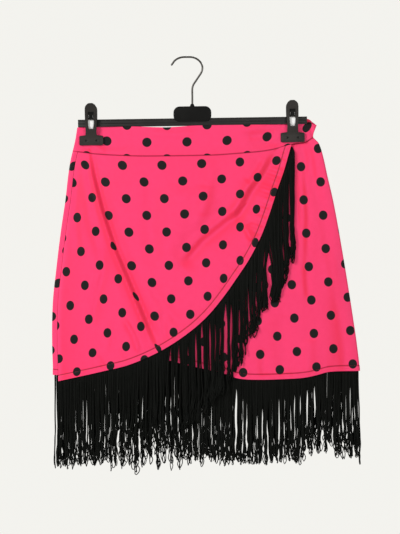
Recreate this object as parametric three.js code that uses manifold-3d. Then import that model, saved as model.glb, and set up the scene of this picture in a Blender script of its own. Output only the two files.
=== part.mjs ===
import * as THREE from 'three';
import Module from 'manifold-3d';
import { mergeVertices } from 'three/addons/utils/BufferGeometryUtils.js';

// Fringe mini skirt with a wrapped front, held by its waistband on a clip hanger.
// Sizes are in millimetres. +Z is up, the front of the skirt faces -Y, and the
// origin is the inside top of the hook, which rests on the rail.

// Walls of cloth, and how deep each layer lies behind the outermost face.
const cloth = {
  panel: 1.0,
  band: 1.6,
  fringe: 0.8,
  seamGap: 0.3,
  sideGap: 0.2,
  sideSeam: 8.5,
};
const layer = {
  over: 0,
  fringeOver: 1.3,
  fringeOut: 0.55,
  under: 2.65,
  underTop: 1.9,
  fringeUnder: 1.8,
  backing: 1.3,
};

// Half depth of the closed skirt: its side folds, and how it swells towards the middle.
const fold = { band: 2.2, skirt: 3.2, opensOver: 12, swellLength: 55 };
const swell = [
  { z: -105, depth: 4.2 },
  { z: -140, depth: 5.2 },
  { z: -170, depth: 7.5 },
  { z: -220, depth: 10.5 },
  { z: -300, depth: 13.5 },
  { z: -400, depth: 15.0 },
  { z: -505, depth: 16.0 },
];
const hemDepthHeight = -505;
const creaseFade = { side: 15, start: 0.35, end: 0.2, rate: 4, dragSlope: 1.6 };
const underFade = { seam: 20, fringeFrom: 120, fringeOver: 25, fringeTo: 165, sideFrom: 3.5, sideOver: 24 };

// Outline of the hanging skirt from the front.
const outline = [
  { z: -105.2, left: -171.6, right: 203.5 },
  { z: -124.0, left: -174.5, right: 198.0 },
  { z: -132.0, left: -176.0, right: 205.7 },
  { z: -143.0, left: -178.6, right: 210.4 },
  { z: -160.0, left: -182.6, right: 215.0 },
  { z: -185.0, left: -186.5, right: 220.4 },
  { z: -223.0, left: -190.8, right: 229.2 },
  { z: -260.0, left: -196.3, right: 236.3 },
  { z: -298.0, left: -201.3, right: 242.9 },
  { z: -336.0, left: -205.7, right: 249.3 },
  { z: -374.0, left: -209.9, right: 255.4 },
  { z: -411.0, left: -211.6, right: 261.1 },
  { z: -449.0, left: -211.6, right: 266.6 },
  { z: -494.0, left: -210.4, right: 271.3 },
  { z: -650.0, left: -209.0, right: 274.0 },
];

// Upper edge of the waistband in front, the higher edge at the back, and the seam
// that joins the band to the panels.
const bandTopFront = [
  { x: -171.6, z: -109.2 },
  { x: -34.5, z: -109.2 },
  { x: 12.6, z: -106.8 },
  { x: 83.2, z: -105.6 },
  { x: 138.2, z: -104.7 },
  { x: 188.5, z: -104.1 },
  { x: 203.5, z: -105.2 },
];
const bandTopBack = [
  { x: -171.6, z: -109.2 },
  { x: -34.5, z: -109.2 },
  { x: 12.6, z: -106.8 },
  { x: 83.2, z: -105.6 },
  { x: 138.2, z: -104.7 },
  { x: 178.0, z: -106.0 },
  { x: 184.5, z: -99.6 },
  { x: 189.5, z: -95.4 },
  { x: 203.5, z: -105.2 },
];
const waistSeam = [
  { x: -179.8, z: -146.6 },
  { x: -170.5, z: -147.4 },
  { x: -138.5, z: -151.2 },
  { x: -95.3, z: -153.5 },
  { x: -61.5, z: -154.3 },
  { x: 38.3, z: -152.8 },
  { x: 67.5, z: -151.0 },
  { x: 115.6, z: -146.8 },
  { x: 139.6, z: -142.6 },
  { x: 151.7, z: -138.9 },
  { x: 163.3, z: -135.8 },
  { x: 170.5, z: -134.2 },
  { x: 185.3, z: -132.0 },
  { x: 198.1, z: -124.8 },
];

// The right end of the back waistband stands up behind the end of the bar.
const raisedCorner = { start: 175, over: 4, from: -112.5, slope: 0.56 };

// Curved edge of the over panel from its top right corner down to the left hem corner.
const overEdge = [
  { x: 163.6, z: -137.5 },
  { x: 161.2, z: -145.0 },
  { x: 151.7, z: -178.0 },
  { x: 141.9, z: -205.7 },
  { x: 127.6, z: -248.8 },
  { x: 115.6, z: -280.1 },
  { x: 96.4, z: -317.1 },
  { x: 80.9, z: -340.5 },
  { x: 57.0, z: -374.6 },
  { x: 33.1, z: -403.6 },
  { x: 5.8, z: -428.3 },
  { x: -38.5, z: -457.7 },
  { x: -89.5, z: -480.3 },
  { x: -131.7, z: -490.9 },
  { x: -202.0, z: -506.8 },
];

// Hem of the under panel from the left end of the waist, which is hidden, to the
// right hem corner.
const underEdge = [
  { x: -165.0, z: -158.0 },
  { x: -168.0, z: -230.0 },
  { x: -164.0, z: -300.0 },
  { x: -154.0, z: -362.0 },
  { x: -136.0, z: -408.0 },
  { x: -108.0, z: -440.0 },
  { x: -72.0, z: -459.0 },
  { x: -34.5, z: -471.8 },
  { x: -16.3, z: -476.8 },
  { x: 22.9, z: -486.2 },
  { x: 57.0, z: -493.9 },
  { x: 83.2, z: -502.4 },
  { x: 161.7, z: -502.7 },
  { x: 187.9, z: -500.5 },
  { x: 206.0, z: -496.7 },
  { x: 223.7, z: -492.2 },
  { x: 271.3, z: -490.8 },
];
const backHem = [
  { x: -210.4, z: -497.0 },
  { x: -150.0, z: -500.0 },
  { x: -85.0, z: -501.6 },
  { x: 60.0, z: -501.6 },
  { x: 170.0, z: -497.5 },
  { x: 271.3, z: -491.0 },
];

// Creases of the front and back: a ridge stands out by its height, a trough is the
// same with a minus, and a drag line has a ridge on its left and a trough on its right.
const frontCreases = [
  {
    kind: 'drag', height: 1.6, width: 11,
    route: [[-150, -150], [-143, -194], [-124, -264], [-90, -350], [-58, -429], [-47, -460]],
  },
  { kind: 'ridge', height: -1.2, width: 14, route: [[-138, -296], [-134, -345], [-147, -385], [-148, -420]] },
  { kind: 'ridge', height: 0.9, width: 7, route: [[-95, -409], [-80, -434], [-72, -462]] },
  { kind: 'ridge', height: -2.2, width: 26, route: [[86, -234], [22, -286], [-12, -326]] },
  {
    kind: 'drag', height: 1.2, width: 12,
    route: [[136, -146], [116, -182], [97, -208], [80, -240], [70, -260]],
  },
  { kind: 'ridge', height: 0.9, width: 9, route: [[92, -262], [104, -288]] },
  { kind: 'drag', height: 1.0, width: 6, route: [[184, -142], [183, -190], [186, -250], [184, -330]] },
  { kind: 'ridge', height: 1.4, width: 22, route: [[230, -300], [222, -390], [226, -495]] },
  { kind: 'ridge', height: -1.3, width: 18, route: [[150, -400], [148, -450], [152, -505]] },
  { kind: 'ridge', height: 1.2, width: 24, route: [[0, -200], [-14, -260], [-30, -330]] },
];
const backCreases = [
  { kind: 'drag', height: 1.6, width: 11, route: [[-148, -150], [-132, -230], [-104, -320], [-70, -420]] },
  { kind: 'drag', height: 1.5, width: 10, route: [[165, -140], [150, -220], [128, -300], [112, -360]] },
  { kind: 'ridge', height: 1.6, width: 26, route: [[-20, -260], [-26, -360], [-18, -500]] },
  { kind: 'ridge', height: -1.4, width: 20, route: [[60, -320], [66, -410], [58, -500]] },
  { kind: 'ridge', height: 1.2, width: 18, route: [[215, -280], [222, -380], [218, -490]] },
];

// Lengths of fringe: spacing of the locks, their width, the heading's place behind
// the edge it is sewn to, and the heights where the locks end.
const lock = { pitch: 5.35, width: 4.4, headingLow: 1.5, headingHigh: 9.0, belowSeam: 2.5 };
const sway = { reach: 1.8, waves: 0.045, bend: 1.7, uneven: 4.5, turns: [2.4, 0.83] };
const overEnds = [
  { x: -204, z: -643 },
  { x: -190, z: -637 },
  { x: -150, z: -628 },
  { x: -110, z: -630 },
  { x: -80, z: -622 },
  { x: -44, z: -604 },
  { x: 6, z: -572 },
  { x: 33, z: -548 },
  { x: 57, z: -519 },
  { x: 81, z: -487 },
  { x: 96, z: -454 },
  { x: 105, z: -435 },
  { x: 117, z: -402 },
  { x: 131, z: -390 },
  { x: 143, z: -376 },
  { x: 149, z: -358 },
  { x: 154, z: -335 },
  { x: 163, z: -292 },
];
const underEnds = [
  { x: -110, z: -580 },
  { x: -60, z: -604 },
  { x: 0, z: -622 },
  { x: 35, z: -627 },
  { x: 80, z: -635 },
  { x: 175, z: -635 },
  { x: 190, z: -622 },
  { x: 222, z: -616 },
  { x: 236, z: -627 },
  { x: 272, z: -629 },
];
const backEnds = [
  { x: -208, z: -644 },
  { x: -190, z: -634 },
  { x: -120, z: -630 },
  { x: -85, z: -641 },
  { x: -34, z: -638 },
  { x: 18, z: -628 },
  { x: 60, z: -634 },
  { x: 175, z: -632 },
  { x: 222, z: -620 },
  { x: 272, z: -627 },
];
const overFringeSpan = { from: -201, to: 163 };
const underFringeFrom = -112;
const fringeInset = { back: 3.0, under: 4.0, at: -500 };
const hangBends = { over: [0.3, 0.64], others: [0.45] };
const topLocksDrift = { from: 150, over: 12, drop: 12, reach: 6 };

// Clip hanger.
const bar = { length: 359, height: 11.5, depth: 8, tilt: 0.0145, middle: [8.65, 0, -100.45] };
const groove = { depth: 0.8, inner: 0.7, outer: 4.0 };
const plate = { width: 59.4, height: 24.4, corner: 9.8, depth: 9.6, lift: 12.15 };
const socket = { base: 4.2, top: 2.6, height: 4.2, hole: 1.8, deep: 13, sunk: 0.4, past: 2, sides: 12 };
const wire = { radius: 1.5, sides: 8, steps: 32 };
const hookRoute = [
  [-24.0, -10.6],
  [-18.5, -3.6],
  [-10.5, 0.6],
  [0, 1.5],
  [9.5, 0.9],
  [16.5, -2.2],
  [21.8, -7.6],
  [24.2, -14.6],
  [23.0, -21.6],
  [15.8, -33.2],
  [9.6, -43.0],
  [8.35, -48.5],
  [8.35, -60.0],
  [8.35, -84.6],
];
const clipPlaces = [
  { name: 'clip_left', top: [-150.8, 0, -71.8] },
  { name: 'clip_right', top: [164.9, 0, -66.9] },
];
const jaw = {
  thick: 2.0,
  window: { width: 9.6, from: 25.3, to: 40.2 },
  slot: { width: 9.0, from: 13.0, to: 22.6 },
};
const jawRows = [
  { drop: 0.0, half: 2.2, gap: 8.6 },
  { drop: 1.3, half: 5.0, gap: 8.4 },
  { drop: 3.6, half: 7.5, gap: 8.1 },
  { drop: 6.6, half: 9.0, gap: 7.8 },
  { drop: 10.0, half: 9.35, gap: 7.3 },
  { drop: 20.0, half: 9.35, gap: 6.0 },
  { drop: 24.0, half: 9.3, gap: 5.6 },
  { drop: 42.0, half: 8.4, gap: 5.6 },
  { drop: 46.0, half: 8.4, gap: 4.5 },
  { drop: 50.2, half: 8.8, gap: 3.0 },
  { drop: 50.9, half: 17.6, gap: 2.7 },
  { drop: 52.0, half: 18.6, gap: 2.5 },
  { drop: 64.4, half: 18.6, gap: 2.5 },
  { drop: 65.4, half: 17.6, gap: 2.5 },
];
const spring = { width: 12, thick: 0.9, inner: 4.35, top: 23, foot: 41, arcSteps: 8 };

// Flat stretch of cloth round each clip's foot, and how far its pull is felt.
const pinch = { flat: 20, reach: 78, fades: 95, footDrop: 65.0, off: 1 };

const colours = { pink: 0xfc4c7a, black: 0x0c0e0a, plastic: 0x373230, bar: 0x3f3b3b, steel: 0x9a9a98 };

function finish(color, roughness, metalness = 0) {
  return new THREE.MeshStandardMaterial({ color, roughness, metalness });
}

// Small helpers for smooth steps and tables read by one named column.
function step01(t) {
  const c = Math.min(Math.max(t, 0), 1);
  return c * c * (3 - 2 * c);
}

function readTable(rows, key, column, at) {
  const rising = rows[0][key] < rows[rows.length - 1][key];
  const list = rising ? rows : [...rows].reverse();
  if (at <= list[0][key]) return list[0][column];
  const last = list.length - 1;
  if (at >= list[last][key]) return list[last][column];
  const i = list.findIndex((row) => row[key] > at) - 1;
  const slope = (k) => {
    const a = list[Math.max(k - 1, 0)];
    const b = list[Math.min(k + 1, last)];
    return (b[column] - a[column]) / (b[key] - a[key]);
  };
  const span = list[i + 1][key] - list[i][key];
  const t = (at - list[i][key]) / span;
  const h = 3 * t * t - 2 * t * t * t;
  const start = t * (1 - t) * (1 - t) * span * slope(i);
  const end = t * t * (t - 1) * span * slope(i + 1);
  return list[i][column] * (1 - h) + list[i + 1][column] * h + start + end;
}

const leftAt = (z) => readTable(outline, 'z', 'left', z);
const rightAt = (z) => readTable(outline, 'z', 'right', z);
const seamAt = (x) => readTable(waistSeam, 'x', 'z', x);

function curveThrough(rows) {
  const points = rows.map((row) => new THREE.Vector3(row.x, 0, row.z));
  return new THREE.CatmullRomCurve3(points, false, 'centripetal');
}

function overSeamX(z) {
  return leftAt(z) + cloth.sideSeam + cloth.sideGap;
}

// Places along the waist seam that the band and the panels share, so that their
// edges run side by side: the left seam, even steps, and the last ones at the right.
const seamEnd = { left: -147, right: -125 };
const stationSteps = { from: -165, to: 155, apart: 13, last: [171, 178, 185, 191] };
const seamStations = [overSeamX(seamEnd.left)];
for (let x = stationSteps.from; x < stationSteps.to; x += stationSteps.apart) seamStations.push(x);
seamStations.push(overEdge[0].x, ...stationSteps.last);

const overCurve = curveThrough([...overEdge].reverse());
const underCurve = curveThrough([...underEdge].reverse());

// How strongly the nearest clip holds front and back together at a point.
function pinchAt(x, z) {
  let most = 0;
  for (const { top } of clipPlaces) {
    const away = Math.abs(x - top[0] - pinch.off) - pinch.flat;
    const aside = 1 - step01(away / (pinch.reach - pinch.flat));
    const below = 1 - step01((top[2] - pinch.footDrop - pinch.off - z) / pinch.fades);
    most = Math.max(most, aside * below);
  }
  return most;
}

function footHeight(x) {
  const [left, right] = clipPlaces.map(({ top }) => top);
  const slope = (right[2] - left[2]) / (right[0] - left[0]);
  return left[2] + (x - left[0]) * slope - pinch.footDrop;
}

function creaseAt(creases, x, z) {
  let sum = 0;
  for (const { kind, height, width, route } of creases) {
    let best = Infinity;
    let along = 0;
    let aside = 0;
    for (let i = 0; i < route.length - 1; i += 1) {
      const [ax, az] = route[i];
      const dx = route[i + 1][0] - ax;
      const dz = route[i + 1][1] - az;
      const t = Math.min(Math.max(((x - ax) * dx + (z - az) * dz) / (dx * dx + dz * dz), 0), 1);
      const ox = x - ax - t * dx;
      const oz = z - az - t * dz;
      const distance = Math.hypot(ox, oz);
      if (distance < best) {
        best = distance;
        along = (i + t) / (route.length - 1);
        aside = Math.sign(dx * oz - dz * ox) * distance;
      }
    }
    const fade = step01(along * creaseFade.rate + creaseFade.start)
      * step01((1 - along) * creaseFade.rate + creaseFade.end);
    const bell = Math.exp(-((best / width) ** 2));
    const profile = kind === 'drag' ? (-creaseFade.dragSlope * aside * bell) / width : bell;
    sum += height * profile * fade;
  }
  return sum;
}

// Radius of the half-round fold at the sides, which grows below the clips' feet.
function sideRadius(x, z) {
  return fold.band + (fold.skirt - fold.band) * step01((footHeight(x) - z) / fold.opensOver);
}

const skirtRadius = (x, z) => sideRadius(x, Math.max(z, hemDepthHeight));

function halfDepth(side, x, z) {
  const level = Math.max(z, hemDepthHeight);
  const radius = sideRadius(x, level);
  const edge = Math.min(x - leftAt(z), rightAt(z) - x) - radius;
  if (edge <= 0) return radius;
  const loose = 1 - pinchAt(x, level);
  const full = Math.max(readTable(swell, 'z', 'depth', level) - radius, 0);
  const creases = side < 0 ? frontCreases : backCreases;
  const wrinkle = creaseAt(creases, x, level) * step01(edge / creaseFade.side);
  return radius + loose * (full * (1 - Math.exp(-edge / fold.swellLength)) + wrinkle);
}

// A point of a wall: side -1 is the front and 1 the back, and deep is how far it
// lies behind the outermost face.
function wallPoint(side, x, z, deep) {
  const radius = skirtRadius(x, z);
  const left = leftAt(z) + radius;
  const right = rightAt(z) - radius;
  if (x >= left && x <= right) return new THREE.Vector3(x, side * (halfDepth(side, x, z) - deep), z);
  const middle = x < left ? left : right;
  const out = Math.min(Math.max(Math.abs(x - middle) / radius, 0), 1);
  const inner = radius - deep;
  return new THREE.Vector3(
    middle + Math.sign(x - middle) * out * inner,
    side * Math.sqrt(1 - out * out) * inner,
    z,
  );
}

// A closed wall from pairs of outer and inner points and the cells between them.
function slab(points, cells) {
  const positions = [];
  for (const face of ['outer', 'inner']) {
    for (const point of points) positions.push(point[face].x, point[face].y, point[face].z);
  }
  const inner = points.length;
  const triangles = [];
  const rim = new Map();
  for (const [a, b, c, d] of cells) {
    triangles.push([a, b, c], [a, c, d]);
    triangles.push([inner + a, inner + c, inner + b], [inner + a, inner + d, inner + c]);
    for (const [from, to] of [[a, b], [b, c], [c, d], [d, a]]) {
      if (!rim.delete(`${to} ${from}`)) rim.set(`${from} ${to}`, [from, to]);
    }
  }
  for (const [from, to] of rim.values()) {
    triangles.push([to, from, inner + from], [to, inner + from, inner + to]);
  }
  const geometry = new THREE.BufferGeometry();
  geometry.setAttribute('position', new THREE.Float32BufferAttribute(positions, 3));
  geometry.setIndex(triangles.flat());
  return outward(geometry);
}

function outward(geometry) {
  const at = geometry.attributes.position;
  const index = geometry.index.array;
  const corner = (k) => new THREE.Vector3().fromBufferAttribute(at, index[k]);
  let volume = 0;
  for (let i = 0; i < index.length; i += 3) {
    volume += corner(i).dot(corner(i + 1).cross(corner(i + 2)));
  }
  if (volume < 0) {
    for (let i = 0; i < index.length; i += 3) [index[i], index[i + 1]] = [index[i + 1], index[i]];
  }
  return geometry;
}

function grid(columns, rows, pointAt) {
  const points = [];
  const cells = [];
  for (let i = 0; i < columns; i += 1) {
    for (let j = 0; j < rows; j += 1) {
      points.push(pointAt(i, j));
      if (i > 0 && j > 0) {
        const here = i * rows + j;
        cells.push([here - rows - 1, here - rows, here, here - 1]);
      }
    }
  }
  return slab(points, cells);
}

function wallPair(side, x, z, deep, thick) {
  return { outer: wallPoint(side, x, z, deep), inner: wallPoint(side, x, z, deep + thick) };
}

// Distances from a side fold that round it off, from its middle to its flat.
const roundSteps = [Math.asin(cloth.sideGap / fold.band), Math.PI * 0.22, Math.PI * 0.36, Math.PI / 2];
const roundOff = (radius, k) => radius * (1 - Math.cos(roundSteps[k]));

// Finds where a line that runs down the skirt meets an edge across it, by closing in
// from a height on the waistband.
const meeting = { startsAt: -130, rounds: 6 };

function meet(xAt, edgeAt) {
  let z = meeting.startsAt;
  for (let n = 0; n < meeting.rounds; n += 1) z = edgeAt(xAt(z));
  return z;
}

// Spreads a place on the waist seam over the width of the skirt at another height.
function spreadAt(x, z) {
  const [seamLeft, seamRight] = [leftAt(seamEnd.left), rightAt(seamEnd.right)];
  const share = (x - seamLeft) / (seamRight - seamLeft);
  return THREE.MathUtils.lerp(leftAt(z), rightAt(z), share);
}

// Waistband strips, from side fold to side fold. Their lines stand straight up from
// the seam and spread out to the top corners above the height given here.
const bandRows = { front: 4, back: 6, spreadFrom: -115, spreadOver: 15 };

function bandGeometry(side, topRows) {
  const rows = side > 0 ? bandRows.back : bandRows.front;
  const stops = roundSteps.map((_, k) => ({ left: k }));
  for (const x of seamStations) stops.push({ x });
  for (let k = roundSteps.length - 1; k >= 0; k -= 1) stops.push({ right: k });
  return grid(stops.length, rows, (i, j) => {
    const { left, right, x } = stops[i];
    const xAt = (z) => {
      if (left !== undefined) return leftAt(z) + roundOff(fold.band, left);
      if (right !== undefined) return rightAt(z) - roundOff(fold.band, right);
      const straight = step01((bandRows.spreadFrom - z) / bandRows.spreadOver);
      return THREE.MathUtils.lerp(spreadAt(x, z), x, straight);
    };
    const top = meet(xAt, (at) => readTable(topRows, 'x', 'z', at));
    const low = meet(xAt, seamAt);
    const z = THREE.MathUtils.lerp(top, low, j / (rows - 1));
    const pair = wallPair(side, xAt(z), z, 0, cloth.band);
    if (side > 0) {
      const lift = raisedCorner.slope * Math.max(z - raisedCorner.from, 0)
        * step01((xAt(z) - raisedCorner.start) / raisedCorner.over);
      pair.outer.y += lift;
      pair.inner.y += lift;
    }
    return pair;
  });
}

// A front panel that wraps over: from its side seam to its pointed far end, with a
// seam at the waist and a curved free edge. Its lines follow the side near it, and
// start from their own places on the seam.
const wrapLines = { followsSide: 4, leavesSeam: 8 };

function wrapGeometry({ sideX, stations, edge, rows, deepAt, rounded, skew }) {
  const ends = rounded ? roundSteps.length - 1 : 0;
  const first = stations[0];
  const last = stations[stations.length - 1];
  return grid(stations.length + ends, rows, (i, j) => {
    const column = Math.max(i - ends, 0);
    const s = (stations[column] - first) / (last - first);
    const v = j / (rows - 1);
    const low = edge.getPointAt(s ** skew);
    if (column > 0) {
      const topZ = seamAt(stations[column]) - cloth.seamGap;
      const z = THREE.MathUtils.lerp(topZ, low.z, v);
      const straight = THREE.MathUtils.lerp(first, edge.getPointAt(0).x, v);
      const atSeam = (sideX(topZ) - first) * (1 - v) ** wrapLines.leavesSeam;
      const aside = (1 - s) ** wrapLines.followsSide * (sideX(z) - straight - atSeam);
      const x = THREE.MathUtils.lerp(stations[column], low.x, v) + aside;
      return wallPair(-1, x, z, deepAt(x, z), cloth.panel);
    }
    const xAt = (z) => (rounded ? rightAt(z) - roundOff(skirtRadius(rightAt(z), z), i) : sideX(z));
    const topZ = meet(xAt, seamAt) - cloth.seamGap;
    const z = THREE.MathUtils.lerp(topZ, low.z, v);
    return wallPair(-1, xAt(z), z, deepAt(xAt(z), z), cloth.panel);
  });
}

function underDepth(x, z) {
  const below = step01((seamAt(x) - z) / underFade.seam);
  const pastFringe = step01((x - underFade.fringeTo) / underFade.fringeOver);
  const nearFringe = step01((x - underFade.fringeFrom) / underFade.fringeOver) * (1 - pastFringe);
  const full = THREE.MathUtils.lerp(layer.underTop, layer.under, Math.max(below, nearFringe));
  return full * step01((rightAt(z) - x - underFade.sideFrom) / underFade.sideOver);
}

// The back panel starts at the left seam on the front, goes round the left fold and
// across the back to the right fold. Its lines spread out below the seam.
const backLines = { rows: 13, turnedIn: 5.6, spreadFrom: -156, spreadOver: 60 };

function backGeometry() {
  const { rows } = backLines;
  const stops = [{ side: -1, from: cloth.sideSeam - cloth.sideGap }, { side: -1, from: backLines.turnedIn }];
  for (let k = roundSteps.length - 1; k >= 1; k -= 1) stops.push({ side: -1, left: k });
  stops.push({ side: 1, from: 0 });
  for (let k = 1; k < roundSteps.length; k += 1) stops.push({ side: 1, left: k });
  for (const x of seamStations) stops.push({ side: 1, x });
  for (let k = roundSteps.length - 1; k >= 0; k -= 1) stops.push({ side: 1, right: k });
  return grid(stops.length, rows, (i, j) => {
    const { side, from, left, right, x } = stops[i];
    const xAt = (z) => {
      if (from !== undefined) return leftAt(z) + from;
      if (left !== undefined) return leftAt(z) + roundOff(skirtRadius(leftAt(z), z), left);
      if (right !== undefined) return rightAt(z) - roundOff(skirtRadius(rightAt(z), z), right);
      const spread = step01((backLines.spreadFrom - z) / backLines.spreadOver);
      return THREE.MathUtils.lerp(x, spreadAt(x, z), spread);
    };
    const topZ = meet(xAt, seamAt) - cloth.seamGap;
    const hemZ = readTable(backHem, 'x', 'z', xAt(hemDepthHeight));
    const z = THREE.MathUtils.lerp(topZ, hemZ, j / (rows - 1));
    return wallPair(side, xAt(z), z, 0, cloth.panel);
  });
}

// A length of fringe: a narrow heading behind an edge, with the locks hanging from it.
function fringeGeometry({ side, from, to, edgeAt, slopeAt, endAt, deepAt, hangAt, bends, drift }) {
  const count = Math.round((to - from) / lock.pitch);
  const points = [];
  const cells = [];
  const add = (x, z, depthAt) => points.push(wallPair(side, x, z, depthAt(x, z), cloth.fringe)) - 1;
  let before = null;
  for (let k = 0; k < count; k += 1) {
    const middle = from + ((k + 0.5) * (to - from)) / count;
    const rows = [-1, 1].map((hand) => {
      const x = middle + (hand * lock.width) / 2;
      const slope = slopeAt(x);
      const long = Math.hypot(1, slope);
      const tall = lock.headingHigh - lock.headingLow;
      const edge = edgeAt(x);
      const root = Math.min(edge + lock.headingLow * long, seamAt(x) - lock.belowSeam);
      const highX = x - (slope * tall) / long;
      const high = Math.min(root + tall / long, seamAt(highX) - cloth.seamGap);
      return [add(highX, high, deepAt), add(x, root, deepAt), x, root];
    });
    const uneven = sway.uneven * Math.sin(k * sway.turns[0]) * Math.cos(k * sway.turns[1]);
    const end = endAt(middle) + uneven;
    const levels = [...bends, 1].map((share, n) => rows.map(([, , x, root]) => {
      const z = root + (end - root) * share;
      const swing = sway.reach * share * Math.sin(x * sway.waves + n * sway.bend) + drift(x, root - z);
      return add(x + swing, z, hangAt);
    }));
    const [left, right] = rows;
    cells.push([left[0], right[0], right[1], left[1]]);
    let above = [left[1], right[1]];
    for (const level of levels) {
      cells.push([above[0], above[1], level[1], level[0]]);
      above = level;
    }
    if (before) cells.push([before[0], left[0], left[1], before[1]]);
    before = right;
  }
  return slab(points, cells);
}

// Height and slope of an edge curve at a place across the skirt.
function edgeReader(curve) {
  const points = curve.getSpacedPoints(300).sort((a, b) => a.x - b.x);
  const rows = points.map((point) => ({ x: point.x, z: point.z }));
  const heightAt = (x) => {
    const i = THREE.MathUtils.clamp(rows.findIndex((row) => row.x > x), 1, rows.length - 1);
    const [a, b] = [rows[i - 1], rows[i]];
    const t = (x - a.x) / (b.x - a.x);
    return a.z + (b.z - a.z) * t;
  };
  const slopeAt = (x) => (heightAt(x + 2) - heightAt(x - 2)) / 4;
  return { heightAt, slopeAt };
}

// Solids for cutting and joining.
const wasm = await Module();
wasm.setup();

function solid(geometry) {
  const bare = geometry.clone();
  bare.deleteAttribute('normal');
  bare.deleteAttribute('uv');
  const merged = mergeVertices(bare, 1e-4);
  return new wasm.Manifold(new wasm.Mesh({
    numProp: 3,
    vertProperties: new Float32Array(merged.attributes.position.array),
    triVerts: new Uint32Array(merged.index.array),
  }));
}

function fromSolid(manifold) {
  const { vertProperties, triVerts } = manifold.getMesh();
  const geometry = new THREE.BufferGeometry();
  geometry.setAttribute('position', new THREE.BufferAttribute(new Float32Array(vertProperties), 3));
  geometry.setIndex(new THREE.BufferAttribute(new Uint32Array(triVerts), 1));
  return geometry;
}

// Extrudes an outline drawn in the XZ plane by a depth centred on y.
function platePrism(shape, depth, curveSegments = 4) {
  const geometry = new THREE.ExtrudeGeometry(shape, { depth, bevelEnabled: false, curveSegments });
  geometry.translate(0, 0, -depth / 2);
  return geometry.rotateX(Math.PI / 2);
}

function roundedRectangle(width, height, corner) {
  const [w, h] = [width / 2, height / 2];
  const shape = new THREE.Shape();
  shape.moveTo(-w + corner, -h);
  shape.lineTo(w - corner, -h);
  shape.absarc(w - corner, -h + corner, corner, -Math.PI / 2, 0, false);
  shape.lineTo(w, h - corner);
  shape.absarc(w - corner, h - corner, corner, 0, Math.PI / 2, false);
  shape.lineTo(-w + corner, h);
  shape.absarc(-w + corner, h - corner, corner, Math.PI / 2, Math.PI, false);
  shape.lineTo(-w, -h + corner);
  shape.absarc(-w + corner, -h + corner, corner, Math.PI, Math.PI * 1.5, false);
  return shape;
}

function barGeometry() {
  const [y, z] = [bar.depth / 2, bar.height / 2];
  const sunk = y - groove.depth;
  const side = [
    [y, -z], [y, -groove.outer], [sunk, -groove.outer], [sunk, -groove.inner], [y, -groove.inner],
    [y, groove.inner], [sunk, groove.inner], [sunk, groove.outer], [y, groove.outer], [y, z],
  ];
  const other = side.map(([a, b]) => [-a, -b]);
  const profile = new THREE.Shape([...side, ...other].map(([a, b]) => new THREE.Vector2(a, b)));
  const rod = new THREE.ExtrudeGeometry(profile, { depth: bar.length, bevelEnabled: false });
  rod.translate(0, 0, -bar.length / 2);
  rod.applyMatrix4(new THREE.Matrix4().makeBasis(
    new THREE.Vector3(0, 1, 0), new THREE.Vector3(0, 0, 1), new THREE.Vector3(1, 0, 0),
  ));
  const middlePlate = platePrism(roundedRectangle(plate.width, plate.height, plate.corner), plate.depth);
  middlePlate.translate(0, 0, plate.lift);
  const top = plate.lift + plate.height / 2;
  const nub = new THREE.CylinderGeometry(socket.top, socket.base, socket.height, socket.sides);
  nub.rotateX(Math.PI / 2).translate(0, 0, top + socket.height / 2 - socket.sunk);
  const long = socket.deep + socket.past;
  const hole = new THREE.CylinderGeometry(socket.hole, socket.hole, long, socket.sides);
  hole.rotateX(Math.PI / 2).translate(0, 0, top + socket.height - socket.sunk + socket.past - long / 2);
  return fromSolid(solid(rod).add(solid(middlePlate)).add(solid(nub)).subtract(solid(hole)));
}

function hookGeometry() {
  const points = hookRoute.map(([x, z]) => new THREE.Vector3(x, 0, z));
  const path = new THREE.CatmullRomCurve3(points, false, 'centripetal');
  const section = new THREE.Shape();
  for (let k = 0; k < wire.sides; k += 1) {
    const turn = (k * 2 * Math.PI) / wire.sides;
    const place = [wire.radius * Math.cos(turn), wire.radius * Math.sin(turn)];
    if (k === 0) section.moveTo(...place);
    else section.lineTo(...place);
  }
  return new THREE.ExtrudeGeometry(section, { steps: wire.steps, extrudePath: path, bevelEnabled: false });
}

// One jaw: a plate whose width and distance from the middle follow its rows, with
// a window in front of the bar and, in the front one, a slot above it.
function jawGeometry(side, openings) {
  const plateBody = grid(2, jawRows.length, (i, j) => {
    const { drop, half, gap } = jawRows[j];
    const x = i === 0 ? -half : half;
    return {
      outer: new THREE.Vector3(x, side * (gap + jaw.thick), -drop),
      inner: new THREE.Vector3(x, side * gap, -drop),
    };
  });
  let body = solid(plateBody);
  const outermost = jawRows[0].gap + 2 * jaw.thick;
  for (const { width, from, to } of openings) {
    const cut = new THREE.BoxGeometry(width, outermost, to - from);
    cut.translate(0, (side * outermost) / 2, -(from + to) / 2);
    body = body.subtract(solid(cut));
  }
  return fromSolid(body);
}

// The flat spring bends over the bar, and its two legs lie inside the jaws.
function springGeometry() {
  const outer = spring.inner + spring.thick;
  const shape = new THREE.Shape();
  shape.moveTo(outer, -spring.foot);
  shape.lineTo(outer, -spring.top);
  shape.absarc(0, -spring.top, outer, 0, Math.PI, false);
  shape.lineTo(-outer, -spring.foot);
  shape.lineTo(-spring.inner, -spring.foot);
  shape.lineTo(-spring.inner, -spring.top);
  shape.absarc(0, -spring.top, spring.inner, Math.PI, 0, true);
  shape.lineTo(spring.inner, -spring.foot);
  const settings = { depth: spring.width, bevelEnabled: false, curveSegments: spring.arcSteps };
  const strip = new THREE.ExtrudeGeometry(shape, settings);
  strip.translate(0, 0, -spring.width / 2);
  return strip.applyMatrix4(new THREE.Matrix4().makeBasis(
    new THREE.Vector3(0, 1, 0), new THREE.Vector3(0, 0, 1), new THREE.Vector3(1, 0, 0),
  ));
}

const model = new THREE.Group();

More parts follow.
